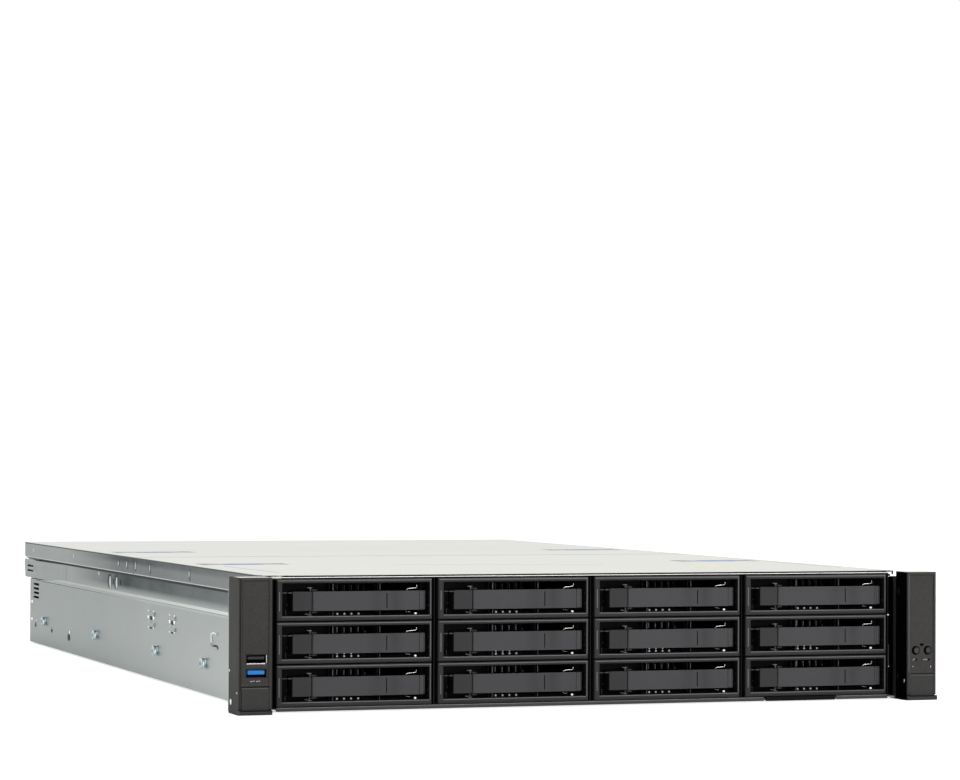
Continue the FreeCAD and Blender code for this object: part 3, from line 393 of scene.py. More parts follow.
def settled_dust(tree, given):
    """Thin grey film, thicker on faces that look up, broken into specks and smudges."""
    upward = spread(tree, facing_up(tree), 0.25, 1.0, -0.2, 0.9)
    specks = surface_noise(tree, given["Speck Size"], 3.0, 0.7)
    smudges = surface_noise(tree, 16.0, 4.0, 0.6)
    film = maths(tree, "ADD", spread(tree, specks, 0.0, 1.0, 0.5, 0.78),
                 spread(tree, smudges, 0.0, 1.0, 0.38, 0.7))
    return [product(tree, film, upward, given["Amount"])]


def moulded_grain(tree, given):
    """Fine moulded grain: a speckled colour, a broken gloss and a height."""
    fine = surface_noise(tree, given["Grain Scale"], 2.0, 0.6)
    broad = surface_noise(tree, 22.0, 3.0, 0.55)
    speckle = maths(tree, "MULTIPLY_ADD", maths(tree, "SUBTRACT", fine, 0.5),
                    given["Speckle"], 1.0)
    shade = product(tree, speckle, spread(tree, broad, 0.9, 1.1))
    gloss = product(tree, given["Roughness"], spread(tree, broad, 0.85, 1.15))
    return tinted(tree, given["Colour"], shade), gloss, fine


def upward_faces(tree, given):
    """1 on faces that look up."""
    return [spread(tree, maths(tree, "SUBTRACT", facing_up(tree), given["Start"]),
                   0.0, 1.0, 0.0, 0.3)]


def oil_film(tree, given):
    """Painted shade on the upper side bands and skirts, darker to the front and along the covers'
    fold.
    """
    spot = parts_of(tree, on_object(tree))
    onset = spread(tree, spot["Y"], 0.0, 1.0, 0.22, 0.02)
    forward = product(tree, onset, spread(tree, spot["Y"], 1.0, 0.60, 0.02, -0.36))
    band = spread(tree, spot["Z"], 0.0, 1.0, 0.0588, 0.0640)
    skirt = spread(tree, spot["Z"], 1.0, 0.62, 0.0733, 0.0735)
    fold = spread(tree, spot["Z"], 0.0, 0.38, 0.0800, 0.0830)
    patchy = spread(tree, surface_noise(tree, 14.0, 3.0, 0.6, (1, 1, 4)), 0.88, 1.0, 0.35, 0.6)
    height = product(tree, maths(tree, "ADD", skirt, fold), patchy)
    return [product(tree, product(tree, forward, band), height, given["Amount"])]


def painted_front_light(tree, given):
    """Painted light: brighter sheet towards the front, fading with height where asked."""
    spot = parts_of(tree, on_object(tree))
    forward = spread(tree, spot["Y"], 0.0, 1.0, 0.10, -0.38)
    fall = maths(tree, "DIVIDE", maths(tree, "SUBTRACT", given["High"], spot["Z"]),
                 maths(tree, "SUBTRACT", given["High"], given["Low"]))
    return [product(tree, forward, spread(tree, fall, 0.0, 1.0))]


def behind_face(tree, given):
    """0 on the face of a carrier and 1 behind it."""
    deep = maths(tree, "SUBTRACT", parts_of(tree, on_object(tree))["Y"], given["Face"])
    return [spread(tree, deep, 0.0, 1.0, 0.0006, 0.0012)]


def painted_slit_shade(tree, given):
    """Two soft patches of painted shade, left and right of the slit in a lever."""
    across = parts_of(tree, on_object(tree))["X"]
    aside = maths(tree, "ABSOLUTE", maths(tree, "SUBTRACT", across, given["Slit Place"]))
    off = maths(tree, "ABSOLUTE", maths(tree, "SUBTRACT", aside, 0.006))
    patchy = spread(tree, surface_noise(tree, 60.0, 3.0, 0.6), 0.6, 1.0, 0.35, 0.6)
    return [product(tree, spread(tree, off, 1.0, 0.0, 0.0, 0.007), patchy, given["Amount"])]


def zinc_sheet(tree, given):
    """Zinc-coated sheet: cloudy crystals, upright handling streaks and fine rolling lines."""
    crystals = tree.nodes.new("ShaderNodeTexVoronoi")
    crystals.feature = "SMOOTH_F1"
    feed(tree, on_object(tree), crystals.inputs["Vector"])
    feed(tree, given["Crystal Size"], crystals.inputs["Scale"])
    split = tree.nodes.new("ShaderNodeSeparateColor")
    feed(tree, crystals.outputs["Color"], split.inputs[0])
    crystal = split.outputs[0]
    lines = surface_noise(tree, 1.0, 2.0, 0.6, (900, 14, 900))
    streaks = surface_noise(tree, 1.0, 3.0, 0.6, (30, 30, 3))
    change = spread(tree, surface_noise(tree, 9.0, 4.0, 0.6), -0.08, 0.08, 0.2, 0.8)
    for value, amount in ((crystal, "Crystal Contrast"), (lines, "Rolling Lines"),
                          (streaks, "Streaks")):
        change = maths(tree, "MULTIPLY_ADD", maths(tree, "SUBTRACT", value, 0.5),
                       given[amount], change)
    return (tinted(tree, given["Colour"], maths(tree, "ADD", change, 1.0)),
            maths(tree, "MULTIPLY_ADD", change, 0.5, given["Roughness"]),
            maths(tree, "ADD", lines, product(tree, crystal, 0.3)))


EDGE_WEAR = effect("Edge wear", edge_wear, {"Width": 0.4 * MM, "Amount": 0.5})
DUST = effect("Settled dust", settled_dust, {"Amount": 0.3, "Speck Size": 420.0})
GRAIN = effect("Moulded grain", moulded_grain,
               {"Colour": (0.05, 0.05, 0.05, 1), "Grain Scale": 1400.0, "Speckle": 0.25,
                "Roughness": 0.5}, SURFACE)
UPWARD = effect("Faces that look up", upward_faces, {"Start": 0.55})
BAND_SHADE = effect("Painted shade on the upper sides", oil_film, {"Amount": 1.0})
FRONT_LIGHT = effect("Painted light to the front", painted_front_light, {"Low": 0.0, "High": 0.09})
BEHIND = effect("Behind the face", behind_face, {"Face": 0.0})
SLIT_SHADE = effect("Painted shade beside the slit", painted_slit_shade, {"Amount": 0.4, "Slit Place": 0.0})
ZINC = effect("Zinc-coated sheet", zinc_sheet,
              {"Colour": (0.6, 0.62, 0.61, 1), "Crystal Size": 90.0, "Crystal Contrast": 0.12,
               "Rolling Lines": 0.06, "Streaks": 0.1, "Roughness": 0.38}, SURFACE)


# ------------------------------------------------------------------ materials
# Painted shade: deep black for a carrier's inside, behind its face
RECESS_SHADE = (0.006, 0.006, 0.006)
# Colour of the painted shade on the upper side bands
BAND_SHADE_COLOUR = (0.030, 0.046, 0.052)
# Colour of the painted shade beside a lever's slit
SLIT_SHADE_COLOUR = (0.022, 0.022, 0.024)
DUST_COLOUR = (0.42, 0.42, 0.40)
RELIEF_DEPTH = 0.1
# Grain of moulded surfaces: scale, speckle in the colour, bump
PLAIN_GRAIN = (900.0, 0.2, 0.1)
FINE_GRAIN = (1400.0, 0.25, 0.15)
LEVER_GRAIN = (1100.0, 0.35, 0.25)
BOARD_GRAIN = (500.0, 0.25, 0.05)


def add_effect(tree, group, values):
    """A shared effect placed in a material with its own values."""
    node = tree.nodes.new("ShaderNodeGroup")
    node.node_tree = group
    for label, value in values.items():
        node.inputs[label].default_value = value
    return node.outputs


def finish_of(key, slot, name, group, values, bump, metallic=0.0, specular=0.5, coat=0.0,
              forward=None, fade_high=0.09, face=None, oil=None, slit=None, top=None, wear=None,
              wear_colour=None, dust=None):
    """A material whose colour, gloss and relief come from a shared effect, with others over it."""
    material = bpy.data.materials.new(name)
    material.use_nodes = True
    tree = material.node_tree
    base = add_effect(tree, group, values)
    colour = base["Colour"]
    rough = base["Roughness"]
    layers = (
        # asked for, effect, its values, its colour, how much it roughens
        # painted light: brighter towards the front, fading with height
        (forward, FRONT_LIGHT, {"High": fade_high}, forward, None),
        # painted shade: deep black behind a carrier's face
        (face, BEHIND, {"Face": face}, RECESS_SHADE, 0.3),
        # painted shade: upper side bands darker towards the front
        (oil, BAND_SHADE, {"Amount": oil}, BAND_SHADE_COLOUR, 0.20),
        # painted shade: two soft dark patches beside the lever's slit
        (slit, SLIT_SHADE, {"Slit Place": slit}, SLIT_SHADE_COLOUR, None),
        # painted light and shade on faces that look up: lighter tops on the covers, darker upper
        # faces on the studs
        (top, UPWARD, {}, top, None),
        (wear, EDGE_WEAR, {"Amount": wear}, wear_colour, None),
        (dust, DUST, {"Amount": dust}, DUST_COLOUR, 0.4),
    )
    for asked, shared, own, tint, roughen in layers:
        if asked is None:
            continue
        mask = add_effect(tree, shared, own)["Mask"]
        colour = mixed(tree, mask, colour, (*tint, 1))
        if roughen is not None:
            rough = maths(tree, "MULTIPLY_ADD", mask, roughen, rough)
    relief = tree.nodes.new("ShaderNodeBump")
    relief.inputs["Strength"].default_value = bump
    relief.inputs["Distance"].default_value = RELIEF_DEPTH * MM
    feed(tree, base["Height"], relief.inputs["Height"])
    settings = {"Normal": relief.outputs["Normal"], "Base Color": colour, "Roughness": rough,
                "Metallic": metallic, "Specular IOR Level": specular, "Coat Weight": coat}
    shader = tree.nodes["Principled BSDF"]
    for label, value in settings.items():
        feed(tree, value, shader.inputs[label])
    FINISH[key] = material
    SLOT_FOR[key] = slot


def moulded(key, slot, name, colour, roughness=0.5, grain=PLAIN_GRAIN, **more):
    """Moulded plastic, paint or solder mask with a fine grain."""
    values = {"Colour": (*colour, 1), "Grain Scale": grain[0], "Speckle": grain[1],
              "Roughness": roughness}
    finish_of(key, slot, name, GRAIN, values, grain[2], **more)


def sheet(key, slot, name, colour, roughness=0.38, crystals=90.0, contrast=0.12, lines=0.06,
          streaks=0.1, bump=0.04, **more):
    """Zinc-coated steel sheet."""
    values = {"Colour": (*colour, 1), "Crystal Size": crystals, "Crystal Contrast": contrast,
              "Rolling Lines": lines, "Streaks": streaks, "Roughness": roughness}
    finish_of(key, slot, name, ZINC, values, bump, metallic=1.0, **more)


def lit(key, slot, name, colour, strength):
    """A light pipe or lamp lens that glows a little, or a small mark given a little glow as a
    painted highlight.
    """
    moulded(key, slot, name, colour, 0.3, (600.0, 0.1, 0.05))
    tree = FINISH[key].node_tree
    shader = tree.nodes["Principled BSDF"]
    feed(tree, shader.inputs["Base Color"].links[0].from_socket, shader.inputs["Emission Color"])
    shader.inputs["Emission Strength"].default_value = strength


def cad_finishes():
    """The finishes of the record's own slots."""
    # The covers' paler top colour on faces that look up is painted light from above
    cover = {"contrast": 0.08, "lines": 0.10, "streaks": 0.25, "top": (0.60, 0.605, 0.565)}
    # Galvanised sheet: painted light brightens the lower walls towards the front; painted shade
    # darkens the upper bands towards the front
    sheet("galvanised_sheet", "galvanised_sheet", "Galvanised sheet", (0.36, 0.40, 0.39), 0.36,
          streaks=0.2, oil=1.0, forward=(0.62, 0.66, 0.65))
    # Cover sheet: painted shade darkens its skirts towards the front and along the fold
    sheet("pale_cover", "pale_cover", "Cover sheet", (0.36, 0.39, 0.38), 0.34, oil=1.0, **cover)
    moulded("black_cage", "black_cage", "Black cage paint", (0.005, 0.005, 0.005), 0.5,
            (900.0, 0.15, 0.1), specular=0.12)
    moulded("carrier_black", "carrier_black", "Carrier plastic", (0.012, 0.012, 0.013), 0.36,
            FINE_GRAIN, specular=0.18, wear=0.6, wear_colour=(0.10, 0.10, 0.105))
    moulded("lever_grey", "lever_grey", "Lever plastic", (0.055, 0.055, 0.060), 0.52,
            LEVER_GRAIN, specular=0.3, wear=0.3, wear_colour=(0.12, 0.12, 0.125))
    moulded("ear_black", "ear_black", "Ear plastic", (0.041, 0.039, 0.037), 0.6,
            (850.0, 0.7, 0.4), specular=0.22, dust=0.05, wear=0.35,
            wear_colour=(0.14, 0.135, 0.13))
    sheet("zinc_fastener", "zinc_fastener", "Zinc-plated fastener", (0.72, 0.78, 0.80), 0.2,
          300.0, 0.08, 0.02)
    moulded("socket_blue", "socket_blue", "Blue socket plastic", (0.012, 0.19, 0.62), 0.35,
            FINE_GRAIN)
    moulded("fan_black", "fan_black", "Fan plastic", (0.018, 0.018, 0.020), 0.42,
            (900.0, 0.25, 0.15), dust=0.15)
    moulded("board_green", "board_green", "Solder mask", (0.010, 0.085, 0.038), 0.32,
            BOARD_GRAIN, coat=0.2)
    sheet("supply_metal", "supply_metal", "Supply sheet", (0.50, 0.52, 0.51), 0.36, 140.0,
          dust=0.08)
    moulded("latch_green", "latch_green", "Latch plastic", (0.02, 0.16, 0.08), 0.45, FINE_GRAIN)


def carrier_finishes():
    """Finishes of the small parts of the carriers and of the drives."""
    face_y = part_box("carrier_11")[0].y
    slit_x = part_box("carrier_11")[0].x + SLIT_PLACE * MM
    moulded("pad", "lever_grey", "Fixed pad plastic", (0.040, 0.038, 0.040), 0.52, LEVER_GRAIN,
            specular=0.22)
    # The lever is darkened in two soft patches beside its slit: painted shade
    moulded("lever", "lever_grey", "Pull lever plastic", (0.064, 0.063, 0.067), 0.52,
            LEVER_GRAIN, specular=0.26, wear=0.3, wear_colour=(0.12, 0.12, 0.125), slit=slit_x)
    moulded("post", "lever_grey", "Hinge post", (0.16, 0.16, 0.165), 0.45)
    # The bezel goes deep black behind its face: painted shade inside the carrier
    moulded("bezel", "carrier_black", "Bezel plastic", (0.034, 0.032, 0.034), 0.4, FINE_GRAIN,
            specular=0.22, wear=0.5, wear_colour=(0.10, 0.10, 0.105), face=face_y)
    # Vent fins in a pale copy, painted light seen through the vents, and a dark copy, painted
    # shade
    moulded("lit_fin", "carrier_black", "Vent fin in painted light", (0.62, 0.62, 0.61), 0.45)
    moulded("shaded_fin", "carrier_black", "Vent fin in painted shade", (0.035, 0.035, 0.037))
    moulded("rib_edge", "carrier_black", "Lit rib edge", (0.10, 0.10, 0.102), 0.45)
    moulded("guide", "carrier_black", "Pocket guide plastic", (0.055, 0.055, 0.058), 0.45,
            (900.0, 0.3, 0.1))
    # Pale frame strips: painted highlights on the frame's edges
    moulded("bead", "carrier_black", "Painted highlight on the frame", (0.15, 0.148, 0.152), 0.38,
            (900.0, 0.4, 0.1))
    moulded("chip", "carrier_black", "Chip resin", (0.012, 0.012, 0.013), 0.5,
            (1200.0, 0.3, 0.1))
    sheet("drive", "supply_metal", "Drive casting", (0.42, 0.43, 0.44), 0.42, 220.0, 0.08, 0.02,
          0.04, 0.1)
    sheet("lid", "supply_metal", "Drive lid", (0.62, 0.63, 0.64), 0.3, 160.0, 0.04, 0.1, 0.04)
    sheet("steel", "zinc_fastener", "Bright steel", (0.82, 0.82, 0.80), 0.25, 260.0, 0.05, 0.02)
    sheet("wire", "zinc_fastener", "Spring wire", (0.75, 0.73, 0.68), 0.25, 260.0, 0.05, 0.02)
    sheet("gold", "zinc_fastener", "Contact gold", (0.83, 0.62, 0.25), 0.25, 300.0, 0.04, 0.02,
          0.0)
    lit("pipe", "zinc_fastener", "Light pipe", (0.85, 0.85, 0.82), 0.55)
    # Small domes that glow a little: painted glints
    lit("tip", "zinc_fastener", "Painted glint dot", (0.80, 0.80, 0.77), 0.35)


def ear_finishes():
    """Finishes of the ears' panels, doors, sockets and marks."""
    grain = 850.0
    moulded("tag", "ear_black", "Tag plastic", (0.004, 0.004, 0.004), 0.6, specular=0.1)
    moulded("dark", "ear_black", "Shadow black", (0.002, 0.002, 0.002), 0.8, (700.0, 0.2, 0.1),
            specular=0.0)
    moulded("flange", "ear_black", "Inner flange plastic", (0.075, 0.068, 0.068), 0.5,
            (900.0, 0.3, 0.1), specular=0.2)
    moulded("ear_edge", "ear_black", "Ear rim plastic", (0.075, 0.072, 0.068), 0.5,
            (grain, 0.5, 0.3), specular=0.3)
    # Near-white ear tops: a painted highlight on the black ears
    moulded("ear_top", "ear_black", "Painted highlight on the ear tops", (0.84, 0.81, 0.76), 0.6,
            (grain, 0.2, 0.02), specular=0.0)
    moulded("groove", "ear_black", "Groove shadow", (0.010, 0.010, 0.009), 0.7,
            (grain, 0.3, 0.1), specular=0.1)
    moulded("bead_lit", "ear_black", "Door bead", (0.11, 0.105, 0.10), 0.4, (grain, 0.3, 0.1))
    moulded("door", "ear_black", "Door plastic", (0.034, 0.033, 0.032), 0.5, (grain, 0.6, 0.35),
            specular=0.3, wear=0.3, wear_colour=(0.14, 0.135, 0.13))
    moulded("faint_mark", "ear_black", "Faint button mark", (0.10, 0.10, 0.10), 0.5,
            (900.0, 0.2, 0.05))
    moulded("mark", "zinc_fastener", "Printed mark", (0.62, 0.62, 0.60), 0.5,
            (900.0, 0.2, 0.05))
    moulded("thread", "zinc_fastener", "Faint thread", (0.14, 0.14, 0.14))
    sheet("usb_shell", "zinc_fastener", "Socket shell", (0.035, 0.034, 0.033), 0.35, 260.0,
          0.05, 0.02)
    # White plugs that glow a little: the glow is a painted highlight
    lit("plug", "zinc_fastener", "White plug", (0.85, 0.85, 0.83), 0.5)
    # Blue tongue that glows a little: painted light that makes it read as lit
    lit("usb_blue", "socket_blue", "Blue tongue", (0.010, 0.19, 0.60), 0.15)


def sheet_finishes():
    """Finishes of the covers, the front edge, the side walls and the fasteners."""
    sheet("nut", "zinc_fastener", "Bright zinc", (0.85, 0.92, 0.92), 0.22, 300.0, 0.1, 0.02, 0.0)
    # Pale strip on the rolled shoulder: painted highlight, brighter towards the front as painted
    # light
    sheet("joggle", "galvanised_sheet", "Painted highlight on the rolled shoulder", (0.42, 0.44, 0.42), 0.34, lines=0.05,
          streaks=0.05, forward=(0.80, 0.84, 0.81), fade_high=3.0)
    # Dark strips along the folds: painted shade; the pale skirt hem strip: painted highlight
    sheet("fold", "pale_cover", "Painted shade on folded edges", (0.07, 0.075, 0.075), 0.5)
    sheet("hem_line", "pale_cover", "Painted highlight on the skirt hem", (0.60, 0.62, 0.60), 0.34)
    # Glowing marks on the wall's pressings: painted highlights and glints
    lit("lance", "galvanised_sheet", "Painted highlight on a lanced form", (0.86, 0.88, 0.87), 0.75)
    lit("glint", "galvanised_sheet", "Painted glint on a pressing", (0.80, 0.83, 0.82), 0.3)
    sheet("ear_tab", "galvanised_sheet", "Ear tab steel", (0.40, 0.385, 0.365), 0.4, 160.0, 0.1,
          0.1)
    sheet("front_edge", "black_cage", "Cage front edge", (0.86, 0.82, 0.78), 0.38, 160.0, 0.1,
          0.1)
    moulded("floor_lip", "black_cage", "Painted floor lip", (0.062, 0.058, 0.056), 0.5,
            (700.0, 0.4, 0.2), specular=0.3)
    # Pale strip on the floor lip's edge: painted highlight
    moulded("lip_edge", "black_cage", "Painted highlight on the lip edge", (0.27, 0.25, 0.24), 0.5,
            (90.0, 0.9, 0.2), specular=0.3)
    moulded("touch_rim", "socket_blue", "Touch pad rim", (0.36, 0.38, 0.44))
    moulded("pad_blue", "socket_blue", "Touch pad blue", (0.10, 0.20, 0.55), 0.45,
            (900.0, 0.3, 0.1))
    moulded("film", "pale_cover", "Yellow film", (0.78, 0.70, 0.38), 0.4, (500.0, 0.15, 0.05))
    moulded("seal", "black_cage", "Seam seal", (0.05, 0.05, 0.048), 0.7, (700.0, 0.3, 0.1),
            specular=0.2)
    moulded("bracket", "black_cage", "Bracket paint", (0.012, 0.012, 0.012), 0.45,
            specular=0.35, wear=0.4, wear_colour=(0.4, 0.4, 0.4))
    moulded("slot_dark", "black_cage", "Slot shadow", (0.07, 0.075, 0.075), 0.6,
            (700.0, 0.2, 0.1), specular=0.2)
    sheet("hem_dull", "pale_cover", "Seam hem", (0.30, 0.33, 0.33), 0.55, 160.0, 0.08, 0.04)
    sheet("hem", "pale_cover", "Hem steel", (0.90, 0.88, 0.85), 0.3, 160.0, 0.08, 0.04)
    # Studs and screws: the dark top colour on faces that look up is painted shade
    sheet("stud", "zinc_fastener", "Blue-passivated zinc", (0.58, 0.70, 0.74), 0.3, 300.0, 0.3,
          0.02, 0.0, top=(0.02, 0.035, 0.04))
    # Dark centres and crosses of the fasteners: painted shade in their recesses
    sheet("stud_pip", "zinc_fastener", "Painted shade in fastener recesses", (0.10, 0.14, 0.16), 0.3, 300.0, 0.1, 0.02,
          0.0)


def inside_finishes():
    """Finishes of the rear and of what is inside."""
    sheet("network", "board_green", "Network cage", (0.66, 0.66, 0.65), 0.3, 260.0, 0.05, 0.05)
    moulded("display_blue", "board_green", "Display socket", (0.02, 0.07, 0.35), 0.4,
            (900.0, 0.1, 0.05))
    moulded("memory", "board_green", "Memory board", (0.008, 0.06, 0.03), 0.35, BOARD_GRAIN,
            coat=0.15)
    moulded("cream", "board_green", "Connector plastic", (0.60, 0.57, 0.48), 0.4,
            (900.0, 0.1, 0.05))
    sheet("aluminium", "supply_metal", "Extruded aluminium", (0.62, 0.63, 0.64), 0.32, 300.0,
          0.04, 0.12, 0.02)
    lit("lamp_green", "latch_green", "Status lamp", (0.08, 0.55, 0.16), 0.5)


cad_finishes()
carrier_finishes()
ear_finishes()
sheet_finishes()
inside_finishes()
for node, obj in NODES.items():
    obj.data.materials.clear()
    obj.data.materials.append(FINISH[SLOT_OF[node]])


# ------------------------------------------------------------------ drive carriers
def trays(*boxes):
    """A form of boxes, each left, right, front, back, low, high in a carrier's measures."""
    form = Form()
    for box in boxes:
        form.tray(*box)
    return form


def rib_edges():
    """Lit front edges of the two tall ribs."""
    form = Form()
    for left, width in zip(RIB_PLACES, (0.55, 0.4)):
        form.tray(left, left + width, 2.6, 3.6, 19.0, 23.3)
        form.tray(left + 0.1, left + width, 2.6, 3.6, POCKET_LOW + 0.2, 5.8)
    return form


def glint_dots(places, up, radius, stretch):
    """A row of small glowing domes under the lever: painted glints."""
    form = Form()
    for across in places:
        form.dome(tray(across, 12.4, up), radius, (1, 1, stretch), 10)
    return form


def spring_wire():
    """Bent spring wire that shows above and below the catch."""
    form = Form()
    above = ((86.2, 18.9), (87.2, 19.8), (92.6, 20.2), (93.3, 20.8), (93.1, 22.2))
    below = ((86.0, 5.5), (87.0, 5.0), (89.4, 4.9))
    for route, radius in ((above, 0.27), (below, 0.14)):
        form.wire([tray(across, 2.6, up) for across, up in route], radius)
    return form


def light_pipe():
    """Domed end of the light pipe under the catch."""
    end = tray(92.6, 2.4, 3.9)
    return Form().rod(tray(92.6, 3.4, 3.9), end, 0.66, 0.62, 16).dome(end, 0.62, (1, 0.6, 1))


def drive_lid():
    """Stamped lid of the drive with its spindle ring and its bare plate."""
    outline = ((3.6, 18.2), (99.4, 18.2), (99.4, 126.0), (88.0, 149.0), (15.0, 149.0),
               (3.6, 126.0))
    form = Form().prism([tray(across, deep, LID_TOP) for across, deep in outline], (0, 0, 0.06))
    form.rod(tray(51.5, 62.0, LID_TOP), tray(51.5, 62.0, LID_TOP + 0.22), 17.0, 16.4, 40)
    return form.rod(tray(84.0, 118.0, LID_TOP), tray(84.0, 118.0, LID_TOP + 0.2), 7.5, 7.0, 28)


def drive_screws():
    """Round screws of the drive lid, each with its socket drawn as a disc of painted shadow."""
    heads = Form()
    sockets = Form()
    for across, deep in ((7.0, 22.0), (96.0, 22.0), (7.0, 84.0), (96.0, 84.0), (20.0, 143.5),
                         (83.0, 143.5), (51.5, 62.0)):
        heads.rod(tray(across, deep, LID_TOP), tray(across, deep, LID_TOP + 0.28), 2.3, 2.1)
        sockets.rod(tray(across, deep, LID_TOP + 0.2), tray(across, deep, LID_TOP + 0.32), 1.0,
                    segments=6)
    return heads, sockets


def board_parts():
    """Chips under the drive, the connector at its end and the connector's contacts."""
    chips = Form()
    for left, deep, size in ((40.0, 96.0, 12.0), (64.0, 104.0, 9.0), (28.0, 126.0, 7.0),
                             (70.0, 132.0, 10.0)):
        chips.tray(left, left + size, deep, deep + size, 0.18, 0.4)
    chips.tray(30.0, 64.0, 161.4, 162.5, 4.0, 11.0)
    contacts = trays(*((31.5 + step * 1.4, 32.3 + step * 1.4, 161.9, 162.7, 6.0, 8.8)
                       for step in range(22)))
    return chips, contacts


def carrier_shapes():
    """The shapes that all carriers share: name, mesh, body, slot and edge radius."""
    bezel, drive = sorted(solids_of("carrier_11"), key=lambda solid: -len(solid.verts))
    lever, = solids_of("lever_11")
    catch, = solids_of("catch_11")
    heads, sockets = drive_screws()
    chips, contacts = board_parts()
    posts = trays((22.3, 22.9, 2.0, 3.6, BAR_HIGH + 0.3, 20.8),
                  (20.6, 23.6, 1.9, 3.9, 20.6, 21.1),
                  (22.3, 22.8, 2.4, 3.8, 3.9, BAR_LOW - 0.3),
                  (19.4, 21.4, 2.6, 4.0, 4.0, 4.5), (21.4, 23.8, 2.2, 4.0, 3.3, 3.9))
    guides = trays((4.4, 7.4, 2.0, 3.0, 17.5, 18.0), (8.0, 10.7, 1.6, 2.6, 17.4, 18.1),
                   (8.0, 8.4, 8.0, 9.0, POCKET_LOW, 6.6), (8.9, 9.5, 8.0, 9.0, 9.6, 10.2))
    # Pale lines on the catch's bevels: painted highlights
    bevel_lines = trays((94.95, 95.25, 0.72, 1.2, BAR_LOW + 0.5, BAR_HIGH - 0.5),
                        (96.6, 97.2, 1.3, 2.2, BAR_LOW + 1.0, BAR_HIGH - 0.8))
    # Thin pale strips on the frame's edges and ledges: painted highlights
    beads = trays((1.5, 2.2, -0.16, 0.6, 6.2, 18.4),
                  (POCKET_LEFT, POCKET_RIGHT, -0.12, 0.9, POCKET_LOW - 0.62, POCKET_LOW - 0.05),
                  (0.8, 102.3, -0.04, 0.9, 25.1, 25.62),
                  (POCKET_RIGHT + 0.25, POCKET_RIGHT + 0.75, -0.05, 0.9, POCKET_LOW, 25.2))
    nub = trays((100.75, 101.5, 2.0, 4.4, 8.2, 9.6), (100.75, 101.5, 2.0, 4.4, 15.4, 16.4))
    pad = trays((PAD_LEFT, PAD_RIGHT, BAR_FRONT - 0.05, BAR_FRONT + 0.6, BAR_LOW, BAR_HIGH))
    forms = (
        # name, form, finish, edge radius, body and slot where they aren't the usual ones
        ("frame", Form(bezel), "bezel", 0.4),
        ("drive", Form(drive), "drive", 0.7),
        ("drive_lid", drive_lid(), "lid", 0.03),
        ("lid_screws", heads, "steel", 0.06),
        ("screw_sockets", sockets, "dark", 0.0, "carrier", "zinc_fastener"),
        ("drive_shade", trays((0.9, 102.1, 15.1, 15.28, 0.6, 25.6)), "dark", 0.0, "carrier",
         "carrier_black"),
        ("drive_board", trays((8.0, 95.0, 70.0, 158.0, 0.28, 0.5)), "board_green", 0.0),
        ("drive_chips", chips, "chip", 0.05),
        ("contacts", contacts, "gold", 0.0),
        ("hinge_posts", posts, "post", 0.1),
        ("guides", guides, "guide", 0.1),
        ("rib_edges", rib_edges(), "rib_edge", 0.1),
        ("catch_lines", bevel_lines, "rib_edge", 0.08, "catch", "lever_grey"),
        ("beads", beads, "bead", 0.15),
        ("end_nub", nub, "carrier_black", 0.15),
        ("tips", glint_dots(GLINT_DOT_PLACES, 3.7, 0.6, 1.1), "tip", 0.0),
        ("spring", spring_wire(), "wire", 0.0),
        ("light_pipe", light_pipe(), "pipe", 0.0),
        ("lever", Form(lever), "lever", 0.3, "lever"),
        ("catch", Form(catch), "lever_grey", 0.3, "catch"),
        ("fixed_pad", pad, "pad", 0.25),
    )
    shapes = []
    for name, form, finish, bevel, *other in forms:
        body = other[0] if other else "carrier"
        slot = other[1] if len(other) > 1 else SLOT_FOR[finish]
        shapes.append((name, form.mesh(name, finish), body, slot, bevel))
    return shapes


def vent_fins():
    """Upright fins that stand between the vents."""
    return trays(*((across - 0.3, across + 0.3, 15.02, 15.09, 18.6, 22.2 - trim)
                   for across, trim in zip(FIN_PLACES, (0.0, 0.3, 0.2, 0.1, 2.4))))


def make_carriers():
    """All twelve carriers: the shapes are made once and stand at every bay."""
    shapes = carrier_shapes()
    # The first row gets the dark fins (painted shade), the other rows the pale ones (painted
    # light)
    fins = {row: vent_fins().mesh("fins", finish)
            for row, finish in (("1", "shaded_fin"), ("2", "lit_fin"))}
    second_tips = glint_dots(GLINT_DOT_PLACES[:3], 5.4, 0.42, 1.3).mesh("upper_tips", "tip")
    stands_for = {"frame": "carrier", "lever": "lever", "catch": "catch"}
    for bay in BAYS:
        row = bay[0]
        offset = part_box("carrier_" + bay)[0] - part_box("carrier_11")[0]
        own = [("fins", fins["1" if row == "1" else "2"], "carrier", "carrier_black", 0.0)]
        if row == "2":
            own.append(("upper_tips", second_tips, "carrier", "zinc_fastener", 0.0))
        for name, mesh, body, slot, bevel in shapes + own:
            piece = place(name + "_" + bay, mesh, body + "_" + bay, bevel, offset=offset)
            if name in stands_for:
                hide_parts(stands_for[name] + "_" + bay)


# ------------------------------------------------------------------ ears
MARK_FRONT = 0.36             # the recessed panels' face, behind the ear fronts
MARKS = (
    # across, height, width and height of each bar
    (-233.4, 21.3, 1.0, 0.5), (-231.8, 21.5, 1.6, 0.35), (-229.6, 21.3, 0.9, 0.6),
    (-228.2, 21.5, 1.3, 0.35), (232.2, 27.3, 0.5, 0.7), (233.2, 27.3, 0.5, 0.7),
    (234.2, 27.3, 0.5, 0.7), (224.4, 27.1, 0.9, 0.45), (225.3, 27.7, 0.9, 0.35),
    (224.0, 22.7, 0.6, 0.6), (237.3, 22.4, 0.45, 1.2),
)


def ear_marks():
    """Generic marks beside the ports and the lamps: plain bars and dots."""
    form = Form()
    for x, z, wide, high in MARKS:
        form.span(x - wide / 2, x + wide / 2, MARK_FRONT, MARK_FRONT + 0.1,
                  z - high / 2, z + high / 2)
    form.make("ear_marks", "mark")


